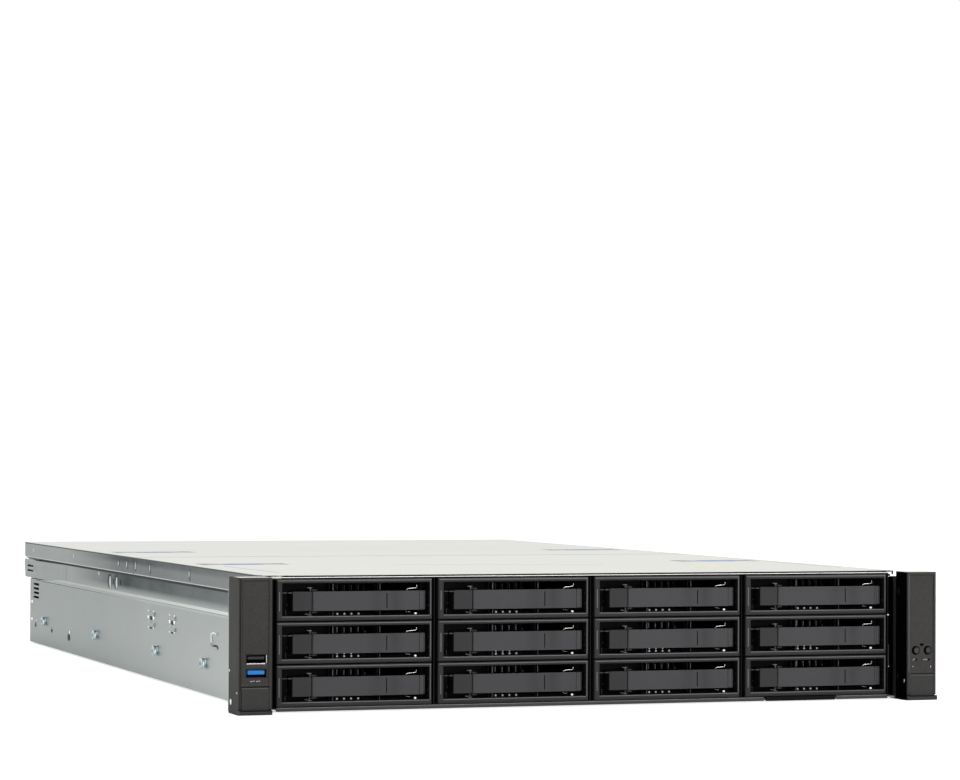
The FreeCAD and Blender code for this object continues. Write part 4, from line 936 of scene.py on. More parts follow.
def ear_holes():
    """Dark oval opening, lamp holes, rings of painted shadow round the two buttons, wider at the
    left, and the buttons' marks.
    """
    face = 0.37
    holes = Form().prism([at(230.6, face, 37.3)
                          + Vector((1.6 * math.cos(turn), 0, 0.8 * math.sin(turn)))
                          for turn in turns(20)], (0, 0.1, 0))
    for x in (226.6, 235.9):
        holes.rod(at(x, face, 27.3), at(x, face + 0.1, 27.3), 0.75, segments=16)
    holes.make("ear_holes", "dark")
    for index, node in enumerate(("power_button", "id_button")):
        low, high = box_mm(node)
        centre = (low + high) / 2
        # Ring of painted shadow round the button, wider at the left
        ring = Form().band(centre, FRONT + face, 0.12, turns(32) + [2 * math.pi],
                           lambda turn: 2.05 + 0.45 * math.cos(turn),
                           lambda turn: 3.0 - 0.45 * math.cos(turn))
        bmesh.ops.remove_doubles(ring.bm, verts=ring.bm.verts, dist=0.001 * MM)
        ring.make("button_ring_%d" % (index + 1), "dark")
        mark = Form()
        proud = low.y - 0.02
        sunk = low.y + 0.04
        if index == 0:
            mark.band(centre, proud, 0.06,
                      [math.radians(120 + 300 / 14 * step) for step in range(15)],
                      lambda turn: 0.9, lambda turn: 1.15)
            mark.box((centre.x - 0.12, proud, centre.z + 0.3),
                     (centre.x + 0.12, sunk, centre.z + 1.4))
        else:
            mark.rod((centre.x, proud, centre.z), (centre.x, sunk, centre.z), 0.35, segments=12)
        mark.make("button_mark_%d" % (index + 1), "faint_mark", node)


def usb_sockets():
    """Folded socket shells with their tongues; the lower tongue is blue."""
    wall = 0.35
    tongues = ((0.5, 2.1, 0.9, "usb_blue"), (0.9, 2.4, 1.3, "chip"))
    boxes = sorted(boxes_of("usb_ports"), key=lambda corners: corners[0].z)
    for index, (low, high) in enumerate(boxes):
        number = "_%d" % (index + 1)
        shell = Form()
        for left, right, base, top in (
                (low.x, high.x, low.z, low.z + wall), (low.x, high.x, high.z - wall, high.z),
                (low.x, low.x + wall, low.z + wall, high.z - wall),
                (high.x - wall, high.x, low.z + wall, high.z - wall)):
            shell.box((left, low.y, base), (right, high.y, top))
        shell.box((low.x + wall, high.y - 1, low.z + wall),
                  (high.x - wall, high.y, high.z - wall))
        piece = shell.make("usb_shell" + number, "usb_shell", bevel=0.1)
        if index == 0:
            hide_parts("usb_ports")
        deep, base, top, finish = tongues[index]
        Form().box((low.x + 1.2, low.y + deep, low.z + base),
                   (high.x - 1.2, high.y - 1, high.z - top)).make(
                       "usb_tongue" + number, finish, bevel=0.2)
        if index == 1:
            lips = Form().box((low.x + 0.3, low.y - 0.05, low.z - 0.55),
                              (high.x - 0.9, low.y + 1.2, low.z - 0.05))
            lips.box((high.x - 0.3, low.y - 0.05, low.z + 0.2),
                     (high.x + 0.1, low.y + 1.2, high.z - 0.3))
            lips.make("usb_lips", "steel", bevel=0.1)
        Form().box((low.x + wall, high.y - 1.4, low.z + wall),
                   (high.x - wall, high.y - 1.05, high.z - wall)).make(
                       "usb_back" + number, "dark", slot="carrier_black")


def ear_sides():
    """Pins that glow a little as painted highlights on the outer sides of the ears; screws, slots,
    flanges and plates of painted shade on the inner ones.
    """
    pins = Form()
    for behind, z, radius in ((20.2, 7.4, 2.0), (4.8, 13.9, 0.7), (23.9, 26.9, 1.0)):
        for outer, side in ((LEFT_LOW.x, -1), (EAR_HIGH.x, 1)):
            pins.rod(at(outer - side * 0.6, behind, z), at(outer + side * 0.04, behind, z),
                     radius, radius * 0.95)
    pins.make("ear_pins", "plug", bevel=0.05)
    screws, slots, shade, flange = Form(), Form(), Form(), Form()
    for inner, side in ((EAR_LOW.x, -1), (LEFT_HIGH.x, 1)):
        screws.rod(at(inner - side * 0.4, 5.6, 13.0), at(inner + side * 0.3, 5.6, 13.0),
                   1.6, 1.2)
        for behind, z in ((13.0, 72.4), (14.6, 15.8)):
            slots.dome(at(inner + side * 0.05, behind, z), 1.6, (0.06, 1, 1.5), 20)
        # Dark plates on the inner sides are painted shade
        for form, front, rear, high in ((shade, 1.2, 17.2, 85.6), (shade, 22.2, 25.9, 82.2),
                                        (flange, 17.3, 22.1, 82.2)):
            form.span(inner, inner + side * 0.06, front, rear, 0.6, high)
    screws.make("ear_screws", "steel", bevel=0.1)
    slots.make("ear_slots", "groove")
    Form().span(LEFT_LOW.x, LEFT_HIGH.x - 4.0, 17.0, 26.1, 82.3, 86.0).make(
        "left_ear_corner", "ear_black", bevel=0.45)
    shade.make("ear_inner_shade", "dark")
    flange.make("ear_inner_flange", "flange")


def ear_lines():
    """Grooves round the recessed panels, the right ear's rim, the ear tops' painted highlight, the
    doors' lines.
    """
    grooves, tops = Form(), Form()
    for low, high in ((LEFT_LOW, LEFT_HIGH), (EAR_LOW, EAR_HIGH)):
        left = low.x + 1.9
        right = high.x - 1.9
        for x, other_x, base, top in ((left, right, 83.8, 84.15),
                                      (left, left + 0.35, 19.2, 84.0),
                                      (right - 0.35, right, 19.2, 84.0)):
            grooves.span(x, other_x, 0.28, 0.48, base, top)
        # Near-white plate on each ear top: painted highlight
        tops.box((low.x + 0.5, low.y + 0.7, high.z - 0.05),
                 (high.x - 0.5, low.y + 17.3, high.z + 0.04))
    grooves.span(LEFT_LOW.x + 0.75, LEFT_LOW.x + 1.25, -0.02, 0.1, 1.5, 85.2)
    grooves.make("panel_grooves", "groove")
    Form().span(EAR_LOW.x + 0.5, EAR_LOW.x + 1.7, -0.03, 0.2, 19.6, 84.0).make(
        "ear_rim", "ear_edge")
    tops.make("ear_tops", "ear_top")
    y = LEFT_LOW.y + 0.02
    base, corner, cut = 4.6, 1.0, 0.3
    for node in ("left_door", "right_door"):
        low, high = box_mm(node)
        left, right, top = low.x + 1.4, high.x - 1.4, high.z - 0.9
        route = ((left, base), (left, top - corner), (left + cut, top - cut),
                 (left + corner, top), (right - corner, top), (right - cut, top - cut),
                 (right, top - corner), (right, base))
        Form().wire([(x, y, z) for x, z in route], 0.14, 6).make(node + "_bead", "bead_lit",
                                                                 node)
        Form().box((low.x + 0.9, low.y - 0.02, 2.7), (high.x - 0.3, low.y + 0.2, 3.5)).make(
            node + "_sill", "groove", node)


def make_ears():
    """Both ears with their doors, buttons, ports and marks, and the duct beside the right one."""
    skins("left_ear right_ear", "ear_black", 0.45)
    skins("left_door right_door", "door", 0.5)
    skins("power_button id_button", "ear_black", 0.25)
    usb_sockets()
    ear_holes()
    ear_marks()
    ear_sides()
    ear_lines()
    # Black sheet behind the duct: painted shadow
    Form().span(213.0, 219.7, 24.6, 25.0, 3.0, 82.0).make("duct_shadow", "dark")
    # Clips on the duct in the glowing tip material: painted glints
    clips = Form().dome(at(211.8, 13.2, 56.9), 0.62, (1.1, 1, 0.8), 10)
    clips.dome(at(212.6, 13.8, 22.2), 0.34, segments=8).make("duct_clips", "tip")
    Form().wire([at(212.6, 14.0, z) for z in (37.0, 30.0, 22.4)], 0.14, 6).make(
        "duct_thread", "thread")


# ------------------------------------------------------------------ covers and the front edge
def finger_pads():
    """Blue finger pads in their rims, two on each cover."""
    base = TOP - 0.38
    for body, middle in (("chassis", 230.0), ("rear_cover", 508.0)):
        rims, pads = Form(), Form()
        for x in (-179.0, 179.0):
            for form, half_x, half_y, height in ((rims, 31.6, 12.6, 0.26),
                                                 (pads, 15.0, 10.0, 0.34)):
                form.prism([at(x + half_x * math.cos(turn), middle + half_y * math.sin(turn),
                               base) for turn in turns(48)], (0, 0, height))
        rims.make("finger_rims_" + body, "touch_rim", body)
        pads.make("finger_pads_" + body, "pad_blue", body)


def cover_seam():
    """Stuck film, and the seal and hem where the two covers meet."""
    Form().span(113.0, 155.0, 108.0, 128.0, TOP - 0.02, TOP + 0.03).make("yellow_film", "film")
    rear = COVER_HIGH.y
    Form().box((COVER_LOW.x + 2, rear + 0.1, TOP - 1.0),
               (COVER_HIGH.x - 2, rear + 0.6, TOP - 0.35)).make("seam_seal", "seal")
    Form().box((COVER_LOW.x + 1.5, rear - 6.0, TOP - 0.05),
               (COVER_HIGH.x - 1.5, rear - 0.2, TOP + 0.02)).make("seam_hem", "hem_dull")


def front_edge():
    """Painted shadow lines, tab and hem over the bays, the floor lip under them with a painted
    highlight on its edge, and a small clip.
    """
    # Dark strips along the front edge and above the left ear: painted shadow lines
    shadow_lines = Form().span(-206.0, 203.0, 22.4, 24.3, TOP - 0.95, TOP - 0.38)
    shadow_lines.span(-214.0, 211.0, 22.0, 23.6, TOP - 2.7, TOP - 1.85)
    shadow_lines.span(-211.0, 211.0, 12.9, 13.3, 84.20, 85.0)
    shadow_lines.span(-225.5, -212.5, 18.0, 19.5, TOP - 0.45, TOP - 0.03)
    shadow_lines.make("edge_shadow_lines", "dark", slot="black_cage")
    Form().span(LEFT_HIGH.x - 0.2, -213.0, 4.0, 4.8, 85.0, 86.3).make("left_ear_tab", "ear_tab")
    Form().span(-211.5, 211.6, 13.1, 13.5, 85.02, 85.50).make("front_hem", "front_edge",
                                                              bevel=0.1)
    # The pale strip along the floor lip's edge is a painted highlight
    lip, lip_highlight = Form(), Form()
    beside_tag = 1.5
    for left, right in ((-213.6, TAG_LOW.x - beside_tag), (TAG_HIGH.x + beside_tag, 211.0)):
        lip.span(left, right, 12.3, 12.9, 1.0, 3.1)
        lip_highlight.span(left, right, 12.25, 12.9, 2.95, 3.4)
    lip.make("floor_lip", "floor_lip")
    lip_highlight.make("floor_lip_edge", "lip_edge")
    outline = ((199.0, TOP - 0.9), (202.2, TOP - 0.05), (212.0, TOP - 0.15), (212.0, TOP - 0.8))
    Form().prism([at(x, 22.0, z) for x, z in outline], (0, 1.6, 0)).make("front_clip", "hem",
                                                                         bevel=0.1)


def cover_edges():
    """Painted shade along the skirts' folds, painted highlights along their hems, and faint wipe
    marks on the front cover.
    """
    for body, start, end, name in (("chassis", 29.0, 390.0, "front"),
                                   ("rear_cover", 392.5, 821.5, "rear")):
        folds, hems = Form(), Form()
        for side, _ in SIDES:
            x = side * COVER_HIGH.x
            for form, low, high in ((folds, TOP - 1.2, TOP - 0.42),
                                    (hems, TOP - 12.8, TOP - 12.15)):
                form.span(x - side * 0.5, x + side * 0.03, start, end, low, high)
        folds.make("skirt_fold_" + name, "fold", body)
        hems.make("skirt_hem_" + name, "hem_line", body)
    lines = Form()
    for start, end in (((-197.0, 70.0), (-203.0, 190.0)), ((209.0, 82.0), (210.5, 213.0)),
                       ((-79.0, 198.0), (67.0, 167.0))):
        across = Vector((end[1] - start[1], start[0] - end[0], 0)).normalized() * 0.9
        start = at(*start, TOP - 0.01)
        end = at(*end, TOP - 0.01)
        lines.prism([start - across, end - across, end + across, start + across],
                    (0, 0, 0.03))
    lines.make("wipe_marks", "hem_dull")


def corner_brackets():
    """Black hooks and wire clips at the front corners of the cover."""
    hooks = {
        "left": ((-219.4, -211.5, 19.4, 0.75, 0.02), (-206.6, -203.6, 20.5, 0.7, 0.02),
                 (-204.4, -203.6, 20.5, 2.2, 0.3)),
        "right": ((199.5, 219.4, 20.5, 0.9, 0.02), (218.5, 219.4, 20.5, 2.6, 0.3),
                  (215.9, 217.0, 20.5, 3.9, 2.2), (213.3, 214.4, 20.5, 3.9, 0.4)),
    }
    clip = ((203.2, 0.9), (204.6, 0.25), (207.6, 0.4), (209.6, 1.1))
    for side, name in SIDES:
        form = Form()
        for left, right, behind, low, high in hooks[name]:
            form.span(left, right, behind, behind + 1.2, TOP - low, TOP - high)
        form.make("corner_bracket_" + name, "bracket", bevel=0.2)
        Form().wire([at(side * x, 19.8, TOP - below) for x, below in clip], 0.28).make(
            "corner_clip_" + name, "bracket")


def make_covers():
    """Both covers and everything along their edges but the corner hooks."""
    skins("front_cover rear_cover", "pale_cover", 0.4)
    finger_pads()
    cover_seam()
    front_edge()
    cover_edges()


# ------------------------------------------------------------------ side walls
STUD_FACE = 221.0             # where a rail stud leaves the wall


def rail_stud(stud, pips, shoulders, side, y, z):
    """A turned rail stud: a neck, a wide domed head, a dark centre pip of painted shade and its
    shoulder nut.
    """
    def out(reach):
        return side * STUD_FACE + side * reach, y, z
    for start, end, radius, end_radius, segments in (
            (-0.4, 0.4, 3.6, 3.3, 28), (0.4, 2.4, 3.3, 3.7, 28), (2.3, 2.6, 3.8, 4.15, 32),
            (2.6, 2.9, 4.15, 3.9, 32), (2.9, 3.3, 3.9, 2.6, 32)):
        stud.rod(out(start), out(end), radius, end_radius, segments)
    pips.rod(out(3.1), out(3.4), 1.7, 1.5, 6)
    shoulders.dome((out(1.5)[0], y - 2.0, z - 0.9), 2.9, (0.55, 0.95, 0.8))


def rack_screw(form, pips, middle, front, rear):
    """A rack screw with a chamfered head, a pointed shank and a cross recess drawn as a dark cross
    of painted shade.
    """
    for start, end, radius, end_radius, segments in (
            (front + 1.0, front + 6.2, 4.3, 4.3, 32), (front, front + 1.0, 3.4, 4.3, 32),
            (front + 6, rear - 1, 2.5, 2.5, 24), (rear - 1, rear, 2.5, 1.6, 24)):
        form.rod((middle.x, start, middle.z), (middle.x, end, middle.z), radius, end_radius,
                 segments)
    for wide, tall in ((2.6, 0.5), (0.5, 2.6)):
        pips.box((middle.x - wide, front - 0.02, middle.z - tall),
                 (middle.x + wide, front + 0.3, middle.z + tall))


def make_fasteners():
    """Rail studs on the side walls and the two rack screws, which are the long ones."""
    form, pips, shoulders = Form(), Form(), Form()
    for low, high in boxes_of("fasteners"):
        middle = (low + high) / 2
        if high.y - low.y > 12:
            rack_screw(form, pips, middle, low.y, high.y)
        else:
            rail_stud(form, pips, shoulders, 1 if middle.x > 0 else -1, middle.y, middle.z)
    piece = form.make("turned_fasteners", "stud", bevel=0.08)
    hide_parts("fasteners")
    pips.make("fastener_recesses", "stud_pip")
    shoulders.make("stud_shoulders", "nut")


def skirt_forms():
    """Seams, slots and stakes on the skirts of the covers."""
    slots = {"front": ((333.0, 3.2, 75.8, 83.4), (211.7, 3.2, 75.8, 83.4),
                       (385.5 - 3.96, 3.96, 76.2, 85.0)),
             "rear": ((441.0 - 2.34, 2.34, 78.0, 83.2), (412.0 - 3.24, 3.24, 77.0, 84.2))}
    stakes = {"rear_cover": ((443.0, 2.4), (414.0, 3.2), (612.0, 2.0), (783.0, 2.0)),
              "chassis": ((384.0, 4.0), (336.6, 3.4), (215.2, 3.0))}
    for side, name in SIDES:
        x = side * COVER_HIGH.x
        for where, body in (("front", "chassis"), ("rear", "rear_cover")):
            form = Form()
            for behind, length, low, high in slots[where]:
                form.span(x - side * 0.2, x + side * 0.02, behind, behind + length, low, high)
            form.make("skirt_slots_%s_%s" % (where, name), "slot_dark", body)
        for body, places in stakes.items():
            form = Form()
            for behind, half in places:
                form.dome(at(x - side * 0.35, behind, 80.2), 0.6, (0.9, 2.4, half / 0.6), 12)
            form.make("skirt_stakes_%s_%s" % (body, name), "hem", body)


def shoulder(side, name):
    """A pale strip of painted highlight on the rolled shoulder between wall and band, and a
    painted shadow line at its lower edge.
    """
    wall = side * WALL
    band = side * BAND
    near = wall - (wall - band) / 3.5 * 1.6
    edge = ((380, 55.05), (560, 54.85), (770, 54.8), (770, 55.3), (560, 55.25))
    Form().prism([at(wall - side * 0.2, behind, z) for behind, z in edge],
                 (side * 0.24, 0, 0)).make("shoulder_edge_" + name, "fold",
                                           slot="galvanised_sheet")
    Form().prism([at(near + side * 0.02, 28, 56.6), at(band + side * 0.02, 28, 58.55),
                  at(band + side * 0.06, 28, 58.6), at(near + side * 0.06, 28, 56.6)],
                 (0, 700 - 28, 0)).make("shoulder_" + name, "joggle")


def wall_marks(side, name):
    """Painted highlights and shadows that draw embossed rounds, lanced bridges, the hook and small
    holes; glowing plugs; a painted shadow along the skirt's gap.
    """
    wall = side * WALL
    band = side * BAND
    bright, dark, lances = Form(), Form(), Form()
    for behind, half in ((487.0, 5.0), (464.0, 5.0)):
        dark.dome(at(band + side * 0.02, behind + 1.6, 65.0), half, (0.03, 1.15, 1.08), 24)
        bright.dome(at(band + side * 0.1, behind - 2.4, 64.6), half, (0.13, 0.3, 0.92), 24)
    bright.dome(at(band, 527.0, 69.6), 1.5, (0.3, 1.0, 1.0), 12)
    for start, end in ((322.0, 342.6), (257.2, 275.4)):
        for low, high in ((43.4, 50.0), (37.0, 41.6)):
            middle = (low + high) / 2
            half = (high - low) / 2
            for behind in (start + 2.0, end - 2.4):
                lances.dome(at(wall + side * 0.04, behind, middle), half,
                            (0.03, 2.6 / half, 1.0), 12)
            dark.dome(at(wall + side * 0.02, (start + end) / 2 - 0.4, middle - half * 0.25),
                      half, (0.03, 4.4 / half, 1.0), 12)
    lances.make("wall_lances_" + name, "lance")
    hook = ((149.8, 37.0), (150.6, 40.0), (149.6, 42.6), (144.0, 43.8), (136.0, 43.0))
    bright.wire([at(wall + side * 0.3, behind, z) for behind, z in hook], 0.62)
    dark.dome(at(wall + side * 0.03, 141.0, 34.2), 7.0, (0.02, 1.0, 0.24), 20)
    for behind, z, radius in ((626.0, 18.0, 1.7), (697.0, 19.4, 0.9), (768.0, 20.4, 0.9)):
        bright.dome(at(wall + side * 0.02, behind, z), radius, (0.05, 2.2, 1.0), 12)
        dark.dome(at(wall + side * 0.02, behind + 4.0, z - 4.0), radius, (0.05, 2.4, 1.8), 12)
    bright.make("wall_glints_" + name, "glint")
    dark.make("wall_shadows_" + name, "slot_dark")
    plugs = Form()
    for z in (36.0, 21.2):
        plugs.dome(at(wall, 787.5, z), 1.3, (0.05, 3.0, 1.0), 12)
    plugs.make("wall_plugs_" + name, "plug")
    # Dark strips under the skirt: painted shadow of its gap
    Form().span(band, side * 221.2, 36, 815, 72.9, 73.45).span(
        band - side * 0.2, band + side * 0.04, 36, 772, 71.4, 72.9).make(
            "skirt_gap_" + name, "slot_dark")


TAB_BARS = (
    # low, high, front and rear of each bar of a slotted rear tab
    (56.4, 61.4, 774.0, 819.6), (63.2, 65.4, 783.0, 821.6), (67.3, 71.9, 783.0, 821.6),
    (61.4, 63.2, 809.5, 821.6), (65.4, 67.3, 809.5, 821.6), (61.4, 71.9, 774.0, 783.0),
)


def rear_tab(side, name):
    """Slotted tab at the rear end of the upper side band, flush with the wall."""
    tab = Form()
    for low, high, front, rear in TAB_BARS:
        tab.span(side * 220.6, side * 221.4, front, rear, low, high)
    outer = side * 221.4
    hidden = side * 218.2 - side * 0.12
    tab.prism([at(outer, 774, 56.4), at(hidden, 656, 56.4),
               at(hidden - side * 0.5, 656, 56.4), at(outer - side * 0.5, 774, 56.4)],
              (0, 0, 15.0))
    tab.make("rear_tab_" + name, "galvanised_sheet")
    Form().span(side * 219.2, side * 219.6, 776, 815, 60.8, 68.0).make(
        "rear_tab_back_" + name, "slot_dark")


def make_chassis():
    """The pan and everything that shows on it."""
    skins("chassis_pan", "galvanised_sheet", 0.25, segments=1)
    make_fasteners()
    skirt_forms()
    for side, name in SIDES:
        shoulder(side, name)
        wall_marks(side, name)
    for side, name in SIDES:
        rear_tab(side, name)
    corner_brackets()
    skins("information_tag", "tag", 0.15)


# ------------------------------------------------------------------ rear
def supply_face(index):
    """A supply's fan guard, lamp, screws and vents."""
    number = "_%d" % index
    body = "power_supply" + number
    low, high = box_mm(body)
    face = box_mm("supply_latch" + number)[0].y + 7.7
    guard = Form()
    middle = Vector((low.x + 50.0, face, low.z + 20.0))

    def spot(reach, turn, proud):
        return middle + Vector((reach * math.cos(turn), proud, reach * math.sin(turn)))
    for reach in (4.5, 8.0, 11.5, 15.0):
        guard.wire([spot(reach, turn, 0.5) for turn in turns(28) + [2 * math.pi]], 0.45, 6)
    for turn in (0.785, 2.356, 3.927, 5.498):
        guard.rod(spot(4, turn, 0.4), spot(16.5, turn, 0.4), 0.5, segments=8)
    guard.make("supply_guard" + number, "steel", body, slot="supply_metal")
    Form().dome((low.x + 34.6, face + 0.1, low.z + 34.0), 1.2, (1, 0.6, 1)).make(
        "supply_lamp" + number, "lamp_green", body)
    screws = Form()
    for x, z in ((3.2, 3.4), (70.3, 35.8), (3.2, 35.8)):
        screws.rod((low.x + x, face - 0.2, low.z + z), (low.x + x, face + 0.4, low.z + z),
                   1.8, 1.5)
    screws.make("supply_screws" + number, "stud", body, 0.1)
    vents = Form()
    for row in range(5):
        for column in range(16):
            centre = Vector((low.x + 10 + row * 13.2, low.y + 14 + column * 9.6,
                             high.z - 0.03))
            vents.rod(centre, centre + Vector((0, 0, 0.06)), 2.6, segments=6)
    vents.make("supply_vents" + number, "dark", body, slot="supply_metal")


def make_rear():
    """Supplies, their latches and the card slots."""
    for index in (1, 2):
        skins("power_supply_%d" % index, "supply_metal", 0.4)
        skins("supply_latch_%d" % index, "latch_green", 0.5)
    skins("expansion_cage", "supply_metal", 0.25)
    for index in (1, 2):
        supply_face(index)


# ------------------------------------------------------------------ inside
def double_socket(low, high, openings, tongues):
    """Two wide network openings side by side."""
    for start in (4.0, 32.0):
        openings.box((low.x + start, high.y, 12.0), (low.x + start + 23, high.y + 0.12, 21.0))
        tongues.box((low.x + start + 3, high.y + 0.1, 15.8),
                    (low.x + start + 20, high.y + 0.2, 17.2))


def display_socket(low, high, openings, nuts):
    """Three rows of pin holes and a nut at each side."""
    for row in range(3):
        for pin in range(5):
            spot = Vector((low.x + 8.6 + pin * 3.2 + row * 0.8, high.y, 13.6 + row * 2.8))
            openings.rod(spot, spot + Vector((0, 0.12, 0)), 0.7, segments=10)
    for x in (low.x + 3.2, high.x - 3.2):
        nuts.rod((x, high.y, 16.5), (x, high.y + 1.4, 16.5), 1.9, segments=6)


def usb_pair(low, high, openings, tongues):
    """Two flat openings one above the other."""
    for z in (11.4, 17.4):
        openings.box((low.x + 1.2, high.y, z), (high.x - 1.2, high.y + 0.12, z + 4.4))
        tongues.box((low.x + 2.2, high.y + 0.1, z + 2.2),
                    (high.x - 2.2, high.y + 0.2, z + 3.6))


def system_board():
    """The main board: coolers, memory with its chips, and rear sockets, told by their sizes."""
    chips, slots, openings, tongues, nuts = Form(), Form(), Form(), Form(), Form()
    for index, solid in enumerate(solids_of("system_board")):
        low, high = corners_of(solid)
        wide = high.x - low.x
        finish, bevel = "board_green", 0.0
        if high.z - low.z > 50:
            finish = "aluminium"
        elif wide < 6:
            finish = "memory"
            for step in range(9):
                start = low.y + 6 + step * 13.8
                chips.box((low.x - 0.7, start, 20.0), (high.x + 0.7, start + 10.5, 34.0))
            slots.box((low.x - 1.2, low.y - 2.5, BOARD_TOP), (high.x + 1.2, high.y + 2.5, 16.0))
        elif high.z > 20:
            finish, bevel = "network", 0.3
            if wide > 50:
                double_socket(low, high, openings, tongues)
            elif wide > 25:
                finish = "display_blue"
                display_socket(low, high, openings, nuts)
            elif 14 < wide < 16:
                usb_pair(low, high, openings, tongues)
            elif len(solid.faces) < 12:
                openings.box((low.x + 2, high.y, 11.6), (high.x - 2, high.y + 0.12, 20.6))
        name = "system_board_%d" % (index + 1)
        piece = place(name, Form(solid).mesh(name, finish), "chassis",
                      bevel, 1)
        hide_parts("system_board")
    chips.make("memory_chips", "chip")
    slots.make("memory_slots", "cream", bevel=0.3)
    openings.make("socket_openings", "dark", slot="carrier_black")
    tongues.make("socket_tongues", "usb_blue")
    nuts.make("socket_nuts", "steel", bevel=0.1)


def small_parts():
    """Capacitors, chokes, a clock cell, a bare chip sink and cable headers on the main board."""
    cans, tops, chokes = Form(), Form(), Form()

    def can(x, y, height, radius):
        top = BOARD_TOP + height
        cans.rod((x, y, BOARD_TOP), (x, y, top), radius)
        tops.rod((x, y, top), (x, y, top + 0.2), radius - 0.5)
    for middle in (-112.0, 32.0):
        for step in range(6):
            x = middle - 32 + step * 12.8
            can(x, -34.0, 9.0, 3.6)
            chokes.box((x - 4.4, 120.0, BOARD_TOP), (x + 4.4, 129.0, 17.0))
    for x, y in ((-180.0, 150.0), (-170.0, 150.0), (60.0, 200.0), (60.0, 212.0),
                 (112.0, 60.0), (112.0, 76.0)):
        can(x, y, 8.0, 3.2)
    cans.make("capacitors", "chip", bevel=0.3)
    tops.make("capacitor_tops", "aluminium", slot="zinc_fastener")
    chokes.make("chokes", "chip", bevel=0.6)
    Form().rod((20.0, 300.0, BOARD_TOP), (20.0, 300.0, 14.5), 10.0, 9.6, 32).make(
        "clock_cell", "steel", bevel=0.3)
    sink = Form().box((-60.0, 210.0, BOARD_TOP), (-20.0, 250.0, 13.0))
    for row in range(9):
        sink.box((-60.0, 210.6 + row * 4.7, 13.0), (-20.0, 211.8 + row * 4.7, 24.0))
    sink.make("chip_sink", "aluminium", bevel=0.1)
    headers = Form()
    for x, y, wide, deep in ((-205.0, -60.0, 26.0, 8.0), (-60.0, -66.0, 26.0, 8.0),
                             (100.0, -66.0, 26.0, 8.0), (70.0, 150.0, 8.0, 42.0),
                             (-90.0, 180.0, 8.0, 60.0), (90.0, 280.0, 30.0, 9.0)):
        headers.box((x, y, BOARD_TOP), (x + wide, y + deep, 18.0))
    headers.make("cable_headers", "cream", bevel=0.5)


def make_inside():
    """Cage, backplane, fans with their blue grips, and the main board."""
    skins("drive_cage", "black_cage", 0.2, segments=1)
    skins("drive_backplane", "board_green", 0.1, segments=1)
    skins("fan_housings", "fan_black", 0.5, segments=1)
    skins("fan_rotor_1 fan_rotor_2 fan_rotor_3", "fan_black", 0.3)
    system_board()
    small_parts()
    for index, (low, high) in enumerate(boxes_of("fan_housings")):
        middle = (low + high) / 2
        Form().box((middle.x - 22, low.y + 10, high.z - 0.02),
                   (middle.x + 22, high.y - 10, high.z + 0.5)).make(
                       "fan_grip_%d" % (index + 1), "pad_blue", bevel=0.2)


make_carriers()
make_ears()
make_covers()
make_chassis()
make_rear()
make_inside()


# ------------------------------------------------------------------ stage
FLOOR_HALF = 40000            # the floor's half width
PALE = (0.80, 0.80, 0.80, 1)


def ray_kinds(tree):
    """What kind of ray looks at the surface."""
    return tree.nodes.new("ShaderNodeLightPath").outputs


def floor_material():
    """Pale floor that reads as white and keeps the machine's shadow."""
    material = bpy.data.materials.new("Pale floor")
    material.use_nodes = True
    tree = material.node_tree
    shader = tree.nodes["Principled BSDF"]
    shader.inputs["Base Color"].default_value = PALE
    shader.inputs["Roughness"].default_value = 0.9
    shader.inputs["Specular IOR Level"].default_value = 0.0
    glow = tree.nodes.new("ShaderNodeEmission")
    path = ray_kinds(tree)
    seen = maths(tree, "MAXIMUM", path["Is Camera Ray"], path["Is Transmission Ray"])
    feed(tree, maths(tree, "MULTIPLY_ADD", path["Is Glossy Ray"], 0.15,
                     product(tree, seen, 0.72)), glow.inputs["Strength"])
    both = tree.nodes.new("ShaderNodeAddShader")
    feed(tree, shader.outputs[0], both.inputs[0])
    feed(tree, glow.outputs[0], both.inputs[1])
    feed(tree, both.outputs[0], tree.nodes["Material Output"].inputs["Surface"])
    return material


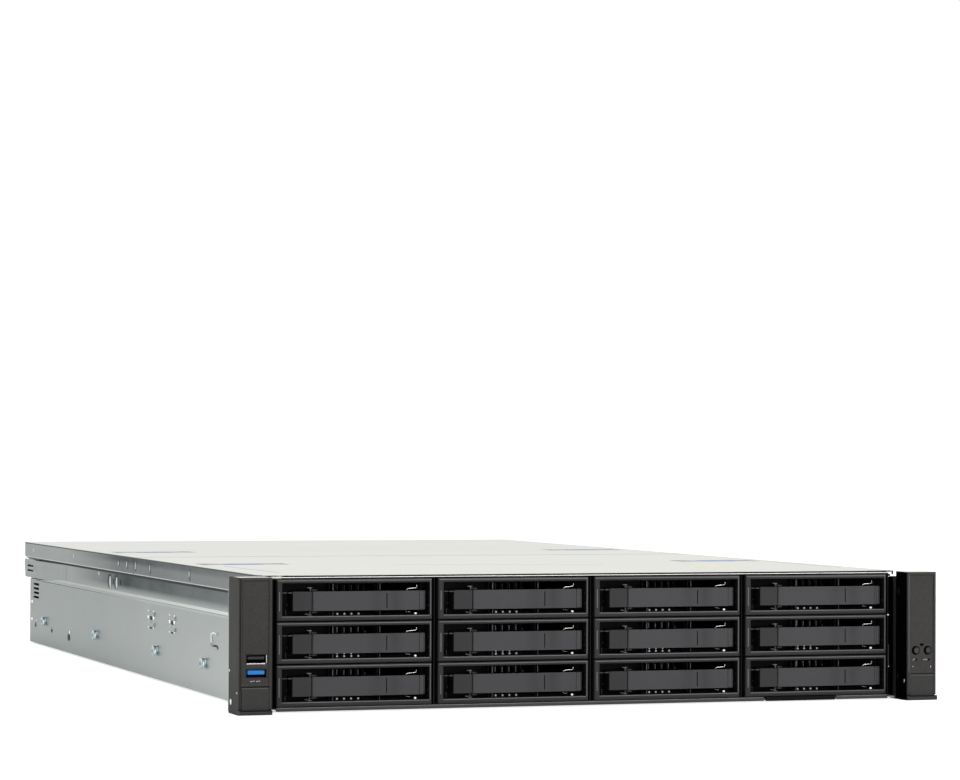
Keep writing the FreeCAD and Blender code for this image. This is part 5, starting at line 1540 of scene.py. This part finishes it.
def make_stage():
    """Floor and white world."""
    floor = bpy.data.objects.new("floor", bpy.data.meshes.new("floor"))
    form = Form().box((-FLOOR_HALF, -FLOOR_HALF, -20), (FLOOR_HALF, FLOOR_HALF, 0))
    form.bm.to_mesh(floor.data)
    form.bm.free()
    bpy.context.scene.collection.objects.link(floor)
    floor.data.materials.append(floor_material())
    world = bpy.data.worlds.new("Studio")
    bpy.context.scene.world = world
    world.use_nodes = True
    tree = world.node_tree
    background = tree.nodes["Background"]
    background.inputs["Color"].default_value = (1, 1, 1, 1)
    path = ray_kinds(tree)
    seen = maths(tree, "MAXIMUM", path["Is Camera Ray"], path["Is Glossy Ray"])
    seen = maths(tree, "MAXIMUM", seen, path["Is Transmission Ray"])
    feed(tree, spread(tree, seen, 0.42, 1.0), background.inputs["Strength"])


def add_lamp(name, position, target, size, power):
    """A soft square lamp aimed at a point, in metres."""
    lamp = bpy.data.lights.new(name, "AREA")
    lamp.shape = "RECTANGLE"
    lamp.size = lamp.size_y = size
    lamp.energy = power
    holder = bpy.data.objects.new(name, lamp)
    holder.location = position
    ahead = Vector(target) - Vector(position)
    holder.rotation_euler = ahead.to_track_quat("-Z", "Y").to_euler()
    bpy.context.scene.collection.objects.link(holder)


def make_camera():
    """Camera low at the front left, looking along the machine."""
    yaw, pitch, roll = (math.radians(angle) for angle in (18.837, 1.213, 0.245))
    ahead = Vector((math.sin(yaw) * math.cos(pitch), math.cos(yaw) * math.cos(pitch),
                    math.sin(pitch)))
    right = Vector((math.cos(yaw), -math.sin(yaw), 0))
    up = right.cross(ahead)
    turned_right = right * math.cos(roll) + up * math.sin(roll)
    turned_up = up * math.cos(roll) - right * math.sin(roll)
    camera = bpy.data.cameras.new("camera")
    camera.sensor_width = 36
    camera.lens = 118.34
    camera.clip_end = 200
    holder = bpy.data.objects.new("camera", camera)
    matrix = Matrix((turned_right, turned_up, -ahead)).transposed().to_4x4()
    matrix.translation = at(-735.3, -1910.7, 162.0) * MM
    holder.matrix_world = matrix
    bpy.context.scene.collection.objects.link(holder)
    bpy.context.scene.camera = holder


make_stage()
add_lamp("key", (0.85, -2.75, 2.2), (0, -0.2, 0), 1.6, 44)
add_lamp("fill", (2.6, -1.4, 1.6), (0, -0.2, 0), 1.8, 20)
add_lamp("overhead", (0, 0.4, 3.0), (0, 0, 0), 2.6, 26)
make_camera()
bpy.context.scene.view_settings.view_transform = "Standard"
